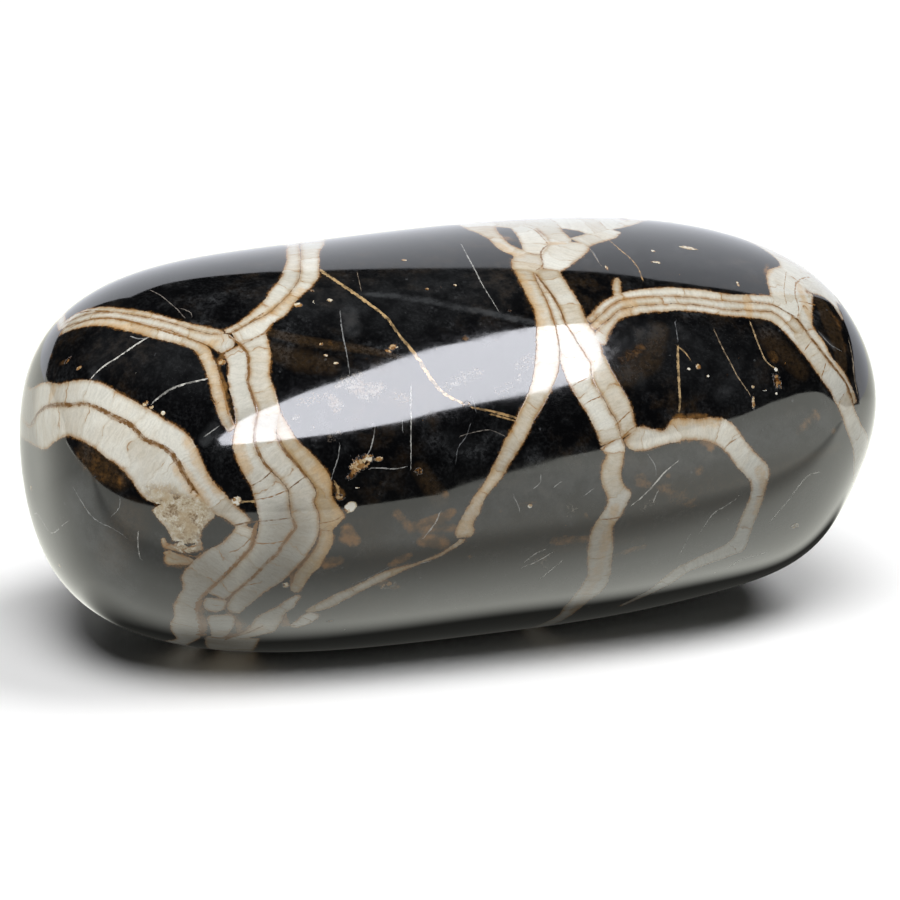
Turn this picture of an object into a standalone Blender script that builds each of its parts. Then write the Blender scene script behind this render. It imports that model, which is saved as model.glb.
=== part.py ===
"""A tumbled stone of zebra jasper, modelled as one closed solid in metres.

The stone lies along X and rests on a small worn flat in the plane Z = 0, with its origin under the
middle of its bounding box. Its surface is a superellipsoid, blunt at both ends, which is then tapered,
arched and given a few broad swells and hollows, the way a tumbled stone departs from a true oval.
"""

import math

import bmesh
import bpy
from mathutils import Vector

# Driving dimensions of the oval body, in metres.
HALF_LENGTH = 0.0240
HALF_DEPTH = 0.0135
HALF_HEIGHT = 0.01175

# Bluntness exponents: 2 gives an ellipse, and a larger value a squarer outline.
END_BLUNTNESS = 3.2
GIRTH_BLUNTNESS = 2.0

# Departures from symmetry along the length.
DEPTH_TAPER = 0.075  # share by which the +X end is deeper than the middle
HEIGHT_TAPER = -0.025  # share by which the +X end is taller than the middle
ARCH = 0.00025  # rise of both ends above the middle

# The resting flat cuts this share of the half height away, and eases into the round over twice EASING.
FLAT_SHARE = 0.05
EASING = 0.0003

# Broad swells (positive) and hollows (negative): centre above the resting plane, radius and height.
SWELLS = (
    (Vector((0.0230, -0.0071, 0.0123)), 0.0050, 0.00110),
    (Vector((0.0222, -0.0074, 0.0084)), 0.0050, -0.00060),
    (Vector((0.0196, -0.0075, 0.0053)), 0.0050, 0.00080),
    (Vector((0.0224, -0.0036, 0.0174)), 0.0050, 0.00055),
    (Vector((-0.0096, 0.0038, 0.0217)), 0.0090, -0.00050),
    (Vector((-0.0120, 0.0125, 0.0120)), 0.0080, 0.00050),
    (Vector((0.0100, 0.0130, 0.0100)), 0.0070, -0.00040),
)

# Cells of the surface grid along, across and up the stone.
CELLS = (36, 18, 18)

STONE_BLACK = (0.016, 0.015, 0.016, 1.0)
POLISH_ROUGHNESS = 0.08


def clear_scene():
    for obj in list(bpy.data.objects):
        bpy.data.objects.remove(obj, do_unlink=True)


def oval_point(direction):
    """The point of the blunt oval body that lies along a direction from its centre."""
    along = abs(direction.x / HALF_LENGTH) ** END_BLUNTNESS
    across = abs(direction.y / HALF_DEPTH) ** GIRTH_BLUNTNESS
    upward = abs(direction.z / HALF_HEIGHT) ** GIRTH_BLUNTNESS
    girth = (across + upward) ** (END_BLUNTNESS / GIRTH_BLUNTNESS)
    return direction / (along + girth) ** (1 / END_BLUNTNESS)


def above_flat(height):
    """A height above the resting flat, held at 0 below it and eased in by a parabola around it."""
    if height > EASING:
        return height
    if height < -EASING:
        return 0.0
    return (height + EASING) ** 2 / (4 * EASING)


def outward(point, centre_height):
    """The direction of the body's surface gradient at a point, of length 1."""
    slope = Vector(
        (
            point.x / HALF_LENGTH**2,
            point.y / HALF_DEPTH**2,
            (point.z - centre_height) / HALF_HEIGHT**2,
        )
    )
    return slope.normalized()


def stone_point(direction):
    """The stone's surface point along a direction: the oval body, tapered, arched, flattened and swelled."""
    point = oval_point(direction)
    share = point.x / HALF_LENGTH
    centre_height = HALF_HEIGHT * (1 - FLAT_SHARE)
    point.y *= 1 + DEPTH_TAPER * share
    point.z *= 1 + HEIGHT_TAPER * share
    point.z += ARCH * share**2
    point.z = above_flat(point.z + centre_height)
    push = sum(
        height * math.exp(-(((point - centre).length / radius) ** 2))
        for centre, radius, height in SWELLS
    )
    point += outward(point, centre_height) * push
    point.z = max(point.z, 0.0)
    return point


def grid_direction(step):
    """The direction through a node of the box-shaped grid, spread evenly by a tangent."""
    shares = (
        math.tan((2 * index / cells - 1) * math.pi / 4)
        for index, cells in zip(step, CELLS)
    )
    return Vector(
        share * half
        for share, half in zip(shares, (HALF_LENGTH, HALF_DEPTH, HALF_HEIGHT))
    )


def box_cells():
    """The four corner nodes of every cell on the six sides of the grid, each turned to face outward."""
    for axis in range(3):
        first = (axis + 1) % 3
        second = (axis + 2) % 3
        for side in (0, CELLS[axis]):
            for i in range(CELLS[first]):
                for j in range(CELLS[second]):
                    corners = []
                    for di, dj in ((0, 0), (1, 0), (1, 1), (0, 1)):
                        node = [0, 0, 0]
                        node[axis] = side
                        node[first] = i + di
                        node[second] = j + dj
                        corners.append(tuple(node))
                    yield corners if side else corners[::-1]


def stone_mesh():
    """The closed surface of the stone, standing on Z = 0 with its box centred on X and Y."""
    bm = bmesh.new()
    made = {}
    for corners in box_cells():
        for node in corners:
            if node not in made:
                made[node] = bm.verts.new(stone_point(grid_direction(node)))
        bm.faces.new([made[node] for node in corners])
    places = [vert.co for vert in bm.verts]
    low = Vector(min(place[axis] for place in places) for axis in range(3))
    high = Vector(max(place[axis] for place in places) for axis in range(3))
    middle = (low + high) / 2
    bmesh.ops.translate(bm, verts=bm.verts, vec=(-middle.x, -middle.y, -low.z))
    mesh = bpy.data.meshes.new("tumbled_stone")
    bm.to_mesh(mesh)
    bm.free()
    mesh.shade_smooth()
    return mesh


def stone_material():
    material = bpy.data.materials.new("stone")
    material.use_nodes = True
    surface = material.node_tree.nodes["Principled BSDF"]
    surface.inputs["Base Color"].default_value = STONE_BLACK
    surface.inputs["Roughness"].default_value = POLISH_ROUGHNESS
    surface.inputs["Metallic"].default_value = 0.0
    return material


def build_stone():
    mesh = stone_mesh()
    mesh.materials.append(stone_material())
    stone = bpy.data.objects.new("tumbled_stone", mesh)
    bpy.context.scene.collection.objects.link(stone)
    return stone


def main():
    clear_scene()
    build_stone()


if __name__ == "__main__":
    main()
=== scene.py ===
"""Looks of a tumbled zebra jasper: one polished black stone crossed by cream, tan and rust veins.

The stone is the same blunt oval as its solid, on a finer grid. Each vein is laid on it as lanes between
traced lines: every point of the surface learns how far inside a lane it is, and how far along it. The
finish turns those distances into crystals, seams, rust and threads.
"""

import math

import bpy
import numpy as np
from bpy.props import FloatProperty, FloatVectorProperty, IntProperty, PointerProperty
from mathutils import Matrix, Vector
from mathutils.bvhtree import BVHTree


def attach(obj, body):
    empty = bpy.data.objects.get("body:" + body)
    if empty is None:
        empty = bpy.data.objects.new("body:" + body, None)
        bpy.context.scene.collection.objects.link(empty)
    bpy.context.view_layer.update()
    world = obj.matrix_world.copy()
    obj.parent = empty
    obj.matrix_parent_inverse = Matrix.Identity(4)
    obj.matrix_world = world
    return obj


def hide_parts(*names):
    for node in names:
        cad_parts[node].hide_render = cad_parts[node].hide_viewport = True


bl_info = {
    "name": "Tumbled Jasper",
    "version": (1, 0, 0),
    "blender": (4, 5, 0),
    "location": "View3D > Sidebar > Jasper",
    "description": "Makes a polished tumbled stone with a network of mineral veins",
    "category": "Add Mesh",
}

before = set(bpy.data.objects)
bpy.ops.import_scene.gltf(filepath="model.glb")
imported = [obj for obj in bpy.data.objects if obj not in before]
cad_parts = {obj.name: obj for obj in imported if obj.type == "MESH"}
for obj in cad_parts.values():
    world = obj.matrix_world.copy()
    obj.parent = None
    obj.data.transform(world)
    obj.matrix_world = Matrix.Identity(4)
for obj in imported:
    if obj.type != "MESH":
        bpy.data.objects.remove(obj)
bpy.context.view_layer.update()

MM = 0.001
UNITS_PER_MM = 18.0  # units of the view for each millimetre of the stone's front
STONE_NAME = "jasper_stone"

# Broad swells (positive) and hollows (negative) of the stone: centre, radius and height, in metres.
SWELLS = (
    ((0.0230, -0.0071, 0.0123), 0.0050, 0.00110),
    ((0.0222, -0.0074, 0.0084), 0.0050, -0.00060),
    ((0.0196, -0.0075, 0.0053), 0.0050, 0.00080),
    ((0.0224, -0.0036, 0.0174), 0.0050, 0.00055),
    ((-0.0096, 0.0038, 0.0217), 0.0090, -0.00050),
    ((-0.0120, 0.0125, 0.0120), 0.0080, 0.00050),
    ((0.0100, 0.0130, 0.0100), 0.0070, -0.00040),
)

# The view that the front markings are laid out in: a square of 900 units, seen by a long lens.
VIEW_SIZE = 900
VIEW_LENS = 150.0
VIEW_SENSOR = 36.0
VIEW_AZIMUTH = -20.0
VIEW_ELEVATION = 16.0
VIEW_DISTANCE = 0.2163
VIEW_TARGET = Vector((0.000203, -0.000062, 0.00995))


def direction(azimuth, elevation):
    """The direction at an azimuth, counted from -Y towards +X, and an elevation, both in degrees."""
    azimuth = math.radians(azimuth)
    elevation = math.radians(elevation)
    level = math.cos(elevation)
    return Vector((math.sin(azimuth) * level, -math.cos(azimuth) * level, math.sin(elevation)))


def view_axes():
    """The view's right, up and backward directions, from its azimuth and elevation."""
    backward = direction(VIEW_AZIMUTH, VIEW_ELEVATION)
    rightward = direction(VIEW_AZIMUTH + 90, 0)
    return rightward, backward.cross(rightward), backward


# ----------------------------------------
# Places. A place on the front is two numbers in the view's units, across from the left and down from the
# top. A place on a hidden side is the side's name and two numbers in millimetres.


def hidden_side(name):
    """A function that puts a side's name before the numbers of places on it."""
    return lambda *numbers: (name, *numbers)


top = hidden_side("top")  # x and y
under = hidden_side("under")  # x and y
back = hidden_side("back")  # x and z
left = hidden_side("left")  # y and z of the -X end
right = hidden_side("right")  # y and z of the +X end


def places(row, size=2):
    """The places of a row, which holds their numbers in turn, or is already a tuple of places.

    Size is how many numbers belong to one place: 3 where a radius follows each.
    """
    if isinstance(row[0], tuple):
        return row
    side = row[:1] if isinstance(row[0], str) else ()
    numbers = row[len(side) :]
    return tuple(side + numbers[first : first + size] for first in range(0, len(numbers), size))


def lane(vein, index):
    """The lane between line `index` and the next one of a vein, as pairs of places."""
    return tuple(places(station)[index : index + 2] for station in vein)


# ----------------------------------------
# Veins. Each row is one station: where the vein's lines pass, in turn from one side of it to the other.

SHOULDER_VEIN = (
    (64,322, 62,326, 61,330, 59,336), (80,311.5, 79,317, 78,322.5, 76,329),
    (100,306.8, 100,312.3, 100,318, 100,325.8), (125,308.5, 125,313.5, 125,320, 125,330.5),
    (150,312, 150,318, 149,326, 147,336.5), (171,318, 170,322.5, 169,330.5, 167,341.5),
    (190,323, 190,329, 189,338, 187,347),
)
SHOULDER_TOP_END = ((208,327, 208,333.5), (222,330, 228,334.5))
SHOULDER_MIDDLE_END = ((208,333.5, 205,344.5), (218,334, 213,349), (228,334.5, 222,353), (238,342, 236,346))
SIDE_STRAND = (
    (203,344, 195,351), (210,349, 201,361), (214,358, 205,371), (218,369, 209,383), (221,379, 212,396),
    (225,394, 216,410), (231,416, 222,424), (236,428, 230,433),
)
END_CAP = (
    (66,321, 60,334), left(5.2,18.8, 3.2,18.6), left(5.0,17.4, 3.0,17.2), left(4.8,15.8, 3.0,15.8),
    left(4.6,14.4, 3.2,14.2),
)
TOP_FORK = (
    (222,330, 228,334, 240,344), (234,325, 240,328, 252,340), (245,317, 254,321, 266,333),
    (256,308, 264,316, 274,322.5), (264,300, 272,310.5, 284,317), (269,291, 279,304, 291,309),
    (275,285, 288,295, 300,297), (279,280, 295,286, 312,287), (282,273, 299,279, 319,277),
    (285.5,264, 300.5,266, 320,267), (286,253, 300.5,254, 319.5,254), (286,246.5, 300,247, 324,245.5),
    top(-8.9,2.9, -7.9,2.6, -6.5,2.2), top(-8.1,5.6, -7.1,5.3, -5.8,4.9), top(-7.0,8.4, -5.9,8.3, -4.7,8.0),
    back(-5.9,18.3, -4.9,18.5, -3.8,18.8), back(-4.9,16.2, -3.9,16.6, -2.8,16.9),
    back(-4.2,14.4, -3.3,14.6, -2.3,14.7),
)
LEFT_TRUNK = (
    (222,353, 240,344, 266,334), (227,362, 247,352, 269,344), (227.5,372, 249,362, 271,354),
    (228,382, 248.5,374, 271,366), (230,392, 248,381, 270,378), (233,402, 252.5,395, 274,388),
    (235,413, 256,404, 277,398), (235.5,425, 257.5,414, 281,412),
)
TRUNK_MIDDLE = (
    (235.5,425, 256,416, 279,411, 280,410), (233,436, 254,430, 276,430, 291,430),
    (232.5,445, 254,442, 279,442, 300,442), (236.5,460, 258,453, 285,450, 309,450.5),
    (243,474, 264,463, 292,458, 319,461), (251,486.5, 272,471, 300,468, 329,473),
    (254,497, 281,481, 308,478, 332,484), (256,505, 288,489, 314,486, 332,494),
    (257.5,513, 289.5,500, 317,493, 336,503), (259,521, 291,514, 314,502, 345,515),
    (258,531, 295,526, 319,515, 340,523),
)
FOOT_SECOND = (
    (255,540, 287,538), (251,549, 281,549), (243,557, 272,559), (235,566, 262,569), (226,575, 252,579),
    (217,583, 241,587), (209,590, 232,594), (205,597, 227,598),
)
FOOT_THIRD = (
    (290,536, 319,532), (283,545, 314,545), (277,554, 308,554), (266,563, 300,564), (258,572, 292,573),
    (250,580, 281,582), (240,588, 267,591), (232,596, 257,599), (227,605, 247,607), (228,612, 236,616),
)
FOOT_FOURTH = (
    (320,527, 334,530), (319,536, 334,539), (316,547, 331,548), (309,556, 325,558), (302,564, 320,567),
    (296,572, 311,575), (292,580, 306,582), (290,587, 301,590), (292,593, 297,595),
)
FOOT_FIRST = (
    (236,526, 257,522), (229,536, 254,535), (221,543, 251,547), (207,550, 243,556), (195,559, 235,565),
    (187,567, 227,573), (181,577, 219,581), (183,588, 209,590), (177,598, 201,599), (173,607, 198,608),
    (174,616, 199,617), (170,624, 202,625), (172,633, 202,633), (176,638.5, 199,639),
    under(-18.0,-3.4, -16.9,-4.3), under(-16.6,-0.9, -15.6,-1.9), under(-14.8,1.7, -13.8,0.8),
    under(-13.0,4.4, -12.1,3.6), under(-11.2,7.0, -10.4,6.2), back(-9.6,3.5, -8.7,2.9),
    back(-8.1,6.6, -7.1,6.2), back(-6.7,9.8, -5.7,9.5), back(-5.4,12.6, -4.4,12.3),
    back(-4.3,14.6, -3.3,14.4),
)
FOOT_BLOCKS = (
    ((207,596, 224,595), (203,602, 227,602), (204,609, 224,609), (207,614, 216,613)),
    ((209,613, 226,611), (207,620, 235,618), (210,628, 233,627), (211,635, 228,634), (214,639, 223,638)),
    (
        (296,594, 303,594), (286,600, 298,601), (278,606, 294,607), (265,612, 286,613), (256,618, 283,619),
        (251,625, 279,626), (245,631, 273,632), (235,635.5, 256,636.5), (224,640, 236,641),
    ),
    ((309,612, 321,611), (301,616, 319,617), (294,622, 311,623), (284,629, 299,627)),
    ((165,555, 196,556), (164,561, 192,563), (167,567, 188,568), (172,571, 184,571)),
    ((163,546, 184,550), (166,551, 182,554), (172,555, 178,556)),
    ((182,550, 202,545), (186,555, 203,549), (195,557, 200,554)),
)
FOOT_INNER_UNDER = (
    (205,640, 262,634), under(-15.8,-4.4, -13.4,-5.4), under(-14.6,-2.1, -12.6,-3.2),
    under(-13.2,0.4, -11.5,-0.7), under(-11.7,3.3, -10.3,2.3), under(-10.1,6.1, -8.9,5.3),
    back(-8.6,2.9, -7.4,2.3), back(-7.0,6.2, -5.8,5.8), back(-5.6,9.5, -4.5,9.2),
    back(-4.3,12.3, -3.2,12.2), back(-3.2,14.4, -2.1,14.5),
)
LOWER_LEFT_VEIN = (
    back(-7.2,14.1, -7.2,13.9, -7.2,13.7), back(-9.0,14.9, -9.0,13.7, -9.0,12.7),
    back(-12.0,14.1, -12.0,12.7, -12.1,11.8), back(-15.5,13.6, -15.6,12.1, -15.7,11.1),
    back(-19.0,13.9, -19.1,12.3, -19.2,11.2), back(-21.8,14.4, -21.9,12.7, -22.0,11.5),
    left(5.2,15.0, 5.4,13.2, 5.4,11.9), (30,388, 30,426, 33,445), (44,382, 41,410, 45,450),
    (58,383.5, 56,405, 57,441), (70,381, 70,405, 68,436), (84,380, 86,404, 80,440),
    (100,382, 100,409, 92,447), (117,391, 116,418, 105,457), (135,401, 131,425, 119,467),
    (152,411, 143,438, 131,480), (168,421, 156,444, 139,492), (183,430, 168,450, 146,499),
)
LOWER_LEFT_INNER_END = ((178,463, 153,503), (186,477, 163,504), (193,489, 174,503), (198,496, 186,502))
LOWER_LEFT_OUTER_END = (
    (193,441, 177,461), (199,452, 184,474), (204,464, 191,485), (210,477, 198,494), (219,488, 205,504),
    (231,500, 212,513), (241,509, 223,518), (250,518, 231,523), (258,521, 236,527),
)
DRUSY_POCKET = (
    (148,497, 200,494), (150,505, 207,503), (154,513, 216,514), (160,521, 209,522), (167,529, 202,531),
    (171,538, 200,539), (176,547, 193,547),
)
CENTRE_TRUNK = (
    (515,268.5, 533,268.5, 535.5,268.5, 559,266.5), (515,272, 533,272, 535.5,272, 559,270),
    (521,285, 538.5,285, 544.5,285, 567.5,284), (527.5,298, 545.5,298, 554,298, 576,297),
    (534,311, 550.5,311, 560.5,310, 582.5,309), (536,323, 554.5,323, 565,323, 587,320.5),
    (536,338, 558,338, 575,338, 599,339),
)
CROWN_LOBES = (
    (
        top(0.6,5.0, 2.1,5.2), top(0.9,3.0, 2.5,3.2), (456,225, 493,223), (467,229.5, 497,229.5),
        (479,234, 502,236), (488,239, 510,244), (498,248.5, 521,249), (511,255, 529,251),
        (515,258, 533,255),
    ),
    (
        top(2.4,5.3, 3.7,5.4), top(3.0,3.2, 4.5,3.3), (504,225, 532,225), (513,231, 539,231),
        (519,240, 547,238), (522,248, 551,244), (526,256, 544,255),
    ),
    (
        top(3.8,5.4, 5.0,5.3), top(4.9,3.0, 6.3,2.8), (530,225, 557,225), (539,231, 564,232),
        (547,239, 572,240), (550,247, 568,246),
    ),
    (
        (553,240, 577,237), (546,247, 589,246), (541,254, 587,253), (541,262, 577,261),
        (543,268, 567,268.5), (546,273, 559,272),
    ),
    ((574,237, 584,249), (585,234, 594,245), (597,231, 606,241), (608,228, 615,238.5), (614,227, 620,234)),
    ((517,252, 542,252), (511,260, 543,259), (512,267, 544,267), (514,275, 540,274)),
    (
        (top(2.2, 3.6), (464, 227)), (top(3.05, 3.7), (478, 229)), (top(4.0, 3.7), (492, 227)),
        (top(4.9, 3.7), (507, 228)), (top(5.9, 3.7), (524, 230)), (top(6.95, 3.7), (542, 229)),
        (top(8.0, 3.6), (560, 228.5)), (top(9.0, 3.5), (577, 231)), (top(9.95, 3.3), (591, 235)),
        (top(10.7, 3.1), (604, 233)), (top(11.4, 2.8), (616, 229)), (top(12.3, 2.4), (640, 223.5)),
    ),
)
CROWN_BRANCH = (
    (612,220, 617,229), (624,220.6, 630,226), top(12.0,2.4, 12.3,0.6), top(13.6,4.9, 14.8,3.9),
    top(14.5,7.6, 16.1,6.9), back(15.0,18.1, 16.6,17.9), back(14.9,16.0, 16.4,15.6),
    back(14.4,13.6, 16.2,13.3),
)
CROWN_BACK = (
    top(0.7,5.0, 2.3,5.2, 3.7,5.3, 5.0,5.2), top(0.4,7.0, 1.8,7.2, 3.0,7.5, 4.3,7.7),
    top(-0.2,9.0, 1.0,9.3, 2.2,9.7, 3.4,10.0), back(-1.0,17.6, 0.1,17.2, 1.1,16.8, 2.3,16.3),
    back(-2.2,15.9, -1.4,15.3, -0.6,14.7, 0.3,14.0), back(-3.3,14.6, -2.7,13.9, -2.2,13.3, -1.8,12.6),
)
LEFT_LEG = (
    (536,350, 560,350), (535,361, 560,361), (534,372, 558,373), (531,385, 553,386), (527,396, 548,397),
    (521,408, 541,409), (516,419, 534,421), (510,431, 529,432), (504,442, 523,444), (499,454, 515,456),
    (493,466, 508,467), (487,478, 501,479), (479,489, 491,491), (472,500, 484,501), (465,511, 480,512),
    (459,522, 474,523), (455,534, 475,531), (460,543, 470,538),
)
RIGHT_LEGS = (
    (560,350, 582,350, 603,352), (560,361, 590,362, 609,364), (565,375, 592,374, 615,376),
    (570,386, 595,386, 622,388), (577,398, 603,398, 628,399), (584,409, 610,411, 633,410),
    (591,421, 617,422, 635,420), (597,436, 620,433, 636,425), (602,450, 621,439, 637,427),
)
CENTRE_STEM = (
    (601,449, 622,437), (606,456, 625,446), (602,464, 624,459), (600,474, 622,471), (602,485, 623,484),
    (606,494, 631,491), (607,503, 628,501), (602,513, 622,515), (595,523, 614,525), (590,535, 613,536),
    (588,548, 613,549), (587,562, 612,563), (587,576, 610,576), (581,586, 603,590), (571,599, 589,601),
    (563,608, 578,610), (557,616, 570,616), under(2.9,-6.0, 4.1,-5.7), under(3.6,-2.8, 4.9,-3.0),
    under(5.0,0.6, 6.2,0.0), under(6.8,4.0, 8.0,3.3), under(9.1,7.2, 10.3,6.6), back(10.8,3.4, 12.1,2.9),
    back(12.3,6.2, 13.6,5.8), back(13.4,9.6, 14.7,9.4), back(14.2,12.4, 15.6,12.3),
    back(14.7,14.4, 16.0,14.4),
)
SIDE_LOOP = (
    (637,424, 622,438), (640,426, 626,445), (645,426, 632,450), (655,429, 645,451), (665,429, 660,446),
    (672,419, 670,443.5), (683,417.5, 682,441), (695,419, 694,440), (708,417.5, 704,440.5),
    (720,418, 713,443.5), (730,421.5, 721,448), (738,430, 728,455), (746,441, 735,465), (755,452, 741,471),
    (766,463, 747,478), (770,473, 751,484), (766,487, 750,494), (763,499, 747,504), (759,511, 742,514),
    (754,523, 738,525), (749,537, 734,536), (744,550, 726,544), (728,557, 712,551), (708,564, 694,559),
    (688,572, 677,567.5), (672,583, 662,579), (655,592, 650,589), (636,600, 636,597), (620,607, 619,605.5),
)
RIGHT_VEIN = (
    (586,318, 590,325, 594,333, 601,351), (593,311, 598,317, 602,325, 607,341),
    (601,303, 606,310, 611,318, 614,326), (611,297, 615,303, 619,310, 622,318.5),
    (622,293, 624,299, 627,308, 632,315.5), (640,289.5, 640,297.5, 641,305.5, 644,313.5),
    (662,287.5, 662,296.5, 662,304, 664,311.5), (685,288, 685,297, 685,304, 685,311),
    (708,290.5, 707,299, 707,306, 706,313), (728,294, 727,301.5, 726,309.5, 725,316),
    (748,294.5, 748,302.5, 747,310.5, 746,317.5), (770,295, 770,304, 769,311.5, 766,320),
)
RIGHT_BLOCK_END = ((780,300, 780,309), (789,306, 788,312))
RIGHT_UPPER_TURN = (
    (778,307, 775,314), (786,311, 781,318), (798,321, 789,326), (806,331, 798,337), (813,340, 807,345),
)
RIGHT_TURN = (
    (775,314, 771,322), (781,318, 776,325), (789,326, 784,332), (798,337, 793,342), (806,346, 801,350),
)
RIGHT_DROP = (
    (802,326, 790,338), (807,332, 795,343), (812,340, 800,351), (819,347, 804,355), (824,355, 811,365),
    (832,365, 817,373), (839,373.5, 822,381), (846,382, 828,388), (848,390, 834,400), (853,402, 838,408),
    (856,412, 842,417), (862,425, 847,432), (868,438, 852,447), right(-8.4,9.6, -9.2,8.2),
    right(-5.2,8.3, -5.6,7.0), right(-1.6,7.7, -1.6,6.3), right(2.4,8.2, 2.9,6.8), right(6.2,9.8, 7.0,8.5),
    back(21.0,12.2, 20.6,10.9), back(18.4,13.6, 18.0,12.3), back(15.8,14.6, 15.6,13.2),
)
SHOULDER_BLOCK = (
    top(16.4,9.3, 18.6,10.0), top(17.2,6.6, 19.6,7.3), top(17.9,3.4, 20.8,4.0), top(18.2,0.3, 22.0,0.6),
    (779,262, 819,277), (768,269, 823,284), (766,277, 819,290.5), (769,289, 814,297), (770,296, 813,303),
    (772,304.5, 813,309), (783,311.5, 812.5,315), (791,316, 812.5,320), (797,319, 814,326),
)
SHOULDER_STRAP = (
    (799,300, 813,303), (798.5,309, 813,311), (798,319, 812.5,320), (803,328, 814,328), (811,339, 822,339),
    (818,346, 828,348), (824,355, 831,356), (832,365, 839,365), (839,373.5, 845,373.5), (846,382, 850,383),
    (848,390, 854,392), (853,402, 858,405),
)
SHOULDER_RIM = (
    top(19.4,1.0, 22.6,0.8), top(19.8,-1.6, 22.6,-1.6), ((799, 281), top(22.5, -3.2)),
    ((804, 288), top(22.3, -4.2)), ((811, 293), top(22.2, -4.9)), ((821, 296), top(22.2, -5.6)),
    (830,302, 837,303), (836,310, 840,311), (842,320, 844,320),
)
STUB = ((615,277, 618,277), (612.5,283, 621,283), (612.5,290, 621.5,290), (614,297, 622,297))
LOW_THREAD = (
    (458,541, 472,537), (447,549, 458,546), (433,556, 443,555), (415,563.5, 425,562), (398,567, 406,570),
    (382,572, 391,577), (366,580, 374,585), (352,587, 358,593), (338,593, 345,600), (322,601, 332,607),
    (309,608, 320,611), (303,613, 308,613),
)
BACK_STRUT = (
    back(-15.2,11.2, -13.9,11.5), back(-15.9,8.4, -14.8,8.3), back(-16.6,5.2, -15.5,5.1),
    under(-16.4,6.6, -15.4,6.4), under(-15.8,3.4, -14.8,3.2),
)

# Every lane of crystal: how tan it is, from 0 for the whitest to 1, and its stations.
LANES = (
    (0.25, lane(SHOULDER_VEIN, 0) + SHOULDER_TOP_END),
    (0.15, lane(SHOULDER_VEIN, 1) + SHOULDER_MIDDLE_END),
    (0.36, lane(SHOULDER_VEIN, 2) + SIDE_STRAND),
    (0.35, END_CAP),
    (0.15, lane(TOP_FORK, 0)),
    (0.20, lane(TOP_FORK, 1)),
    (0.10, lane(LEFT_TRUNK, 0) + lane(TRUNK_MIDDLE, 0)[1:] + FOOT_SECOND),
    (0.25, lane(LEFT_TRUNK, 1) + lane(TRUNK_MIDDLE, 1)[1:] + FOOT_THIRD),
    (0.75, lane(TRUNK_MIDDLE, 2) + FOOT_FOURTH),
    (0.20, FOOT_FIRST),
    (0.10, FOOT_BLOCKS[0]),
    (0.05, FOOT_BLOCKS[1]),
    (0.10, FOOT_BLOCKS[2]),
    (0.10, FOOT_BLOCKS[3]),
    (0.95, FOOT_BLOCKS[4]),
    (0.85, FOOT_BLOCKS[5]),
    (0.60, FOOT_BLOCKS[6]),
    (0.45, FOOT_INNER_UNDER),
    (0.10, lane(LOWER_LEFT_VEIN, 0) + LOWER_LEFT_OUTER_END),
    (0.14, lane(LOWER_LEFT_VEIN, 1) + LOWER_LEFT_INNER_END),
    (0.30, DRUSY_POCKET),
    (0.35, lane(CENTRE_TRUNK, 0) + LEFT_LEG),
    (0.20, lane(CENTRE_TRUNK, 1) + lane(RIGHT_LEGS, 0)),
    (0.30, lane(CENTRE_TRUNK, 2) + lane(RIGHT_LEGS, 1)),
    (0.35, CROWN_LOBES[0]),
    (0.05, CROWN_LOBES[1]),
    (0.10, CROWN_LOBES[2]),
    (0.15, CROWN_LOBES[3]),
    (0.15, CROWN_LOBES[4]),
    (0.45, CROWN_LOBES[5]),
    (0.10, CROWN_LOBES[6]),
    (0.20, CROWN_BRANCH),
    (0.25, lane(CROWN_BACK, 0)),
    (0.10, lane(CROWN_BACK, 1)),
    (0.35, lane(CROWN_BACK, 2)),
    (0.30, CENTRE_STEM),
    (0.20, SIDE_LOOP),
    (0.20, lane(RIGHT_VEIN, 0) + RIGHT_BLOCK_END),
    (0.30, lane(RIGHT_VEIN, 1) + RIGHT_UPPER_TURN),
    (0.15, lane(RIGHT_VEIN, 2) + RIGHT_TURN),
    (0.15, RIGHT_DROP),
    (0.10, SHOULDER_BLOCK),
    (0.25, SHOULDER_STRAP),
    (0.15, SHOULDER_RIM),
    (0.40, STUB),
    (0.60, LOW_THREAD),
    (0.50, BACK_STRUT),
)


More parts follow.
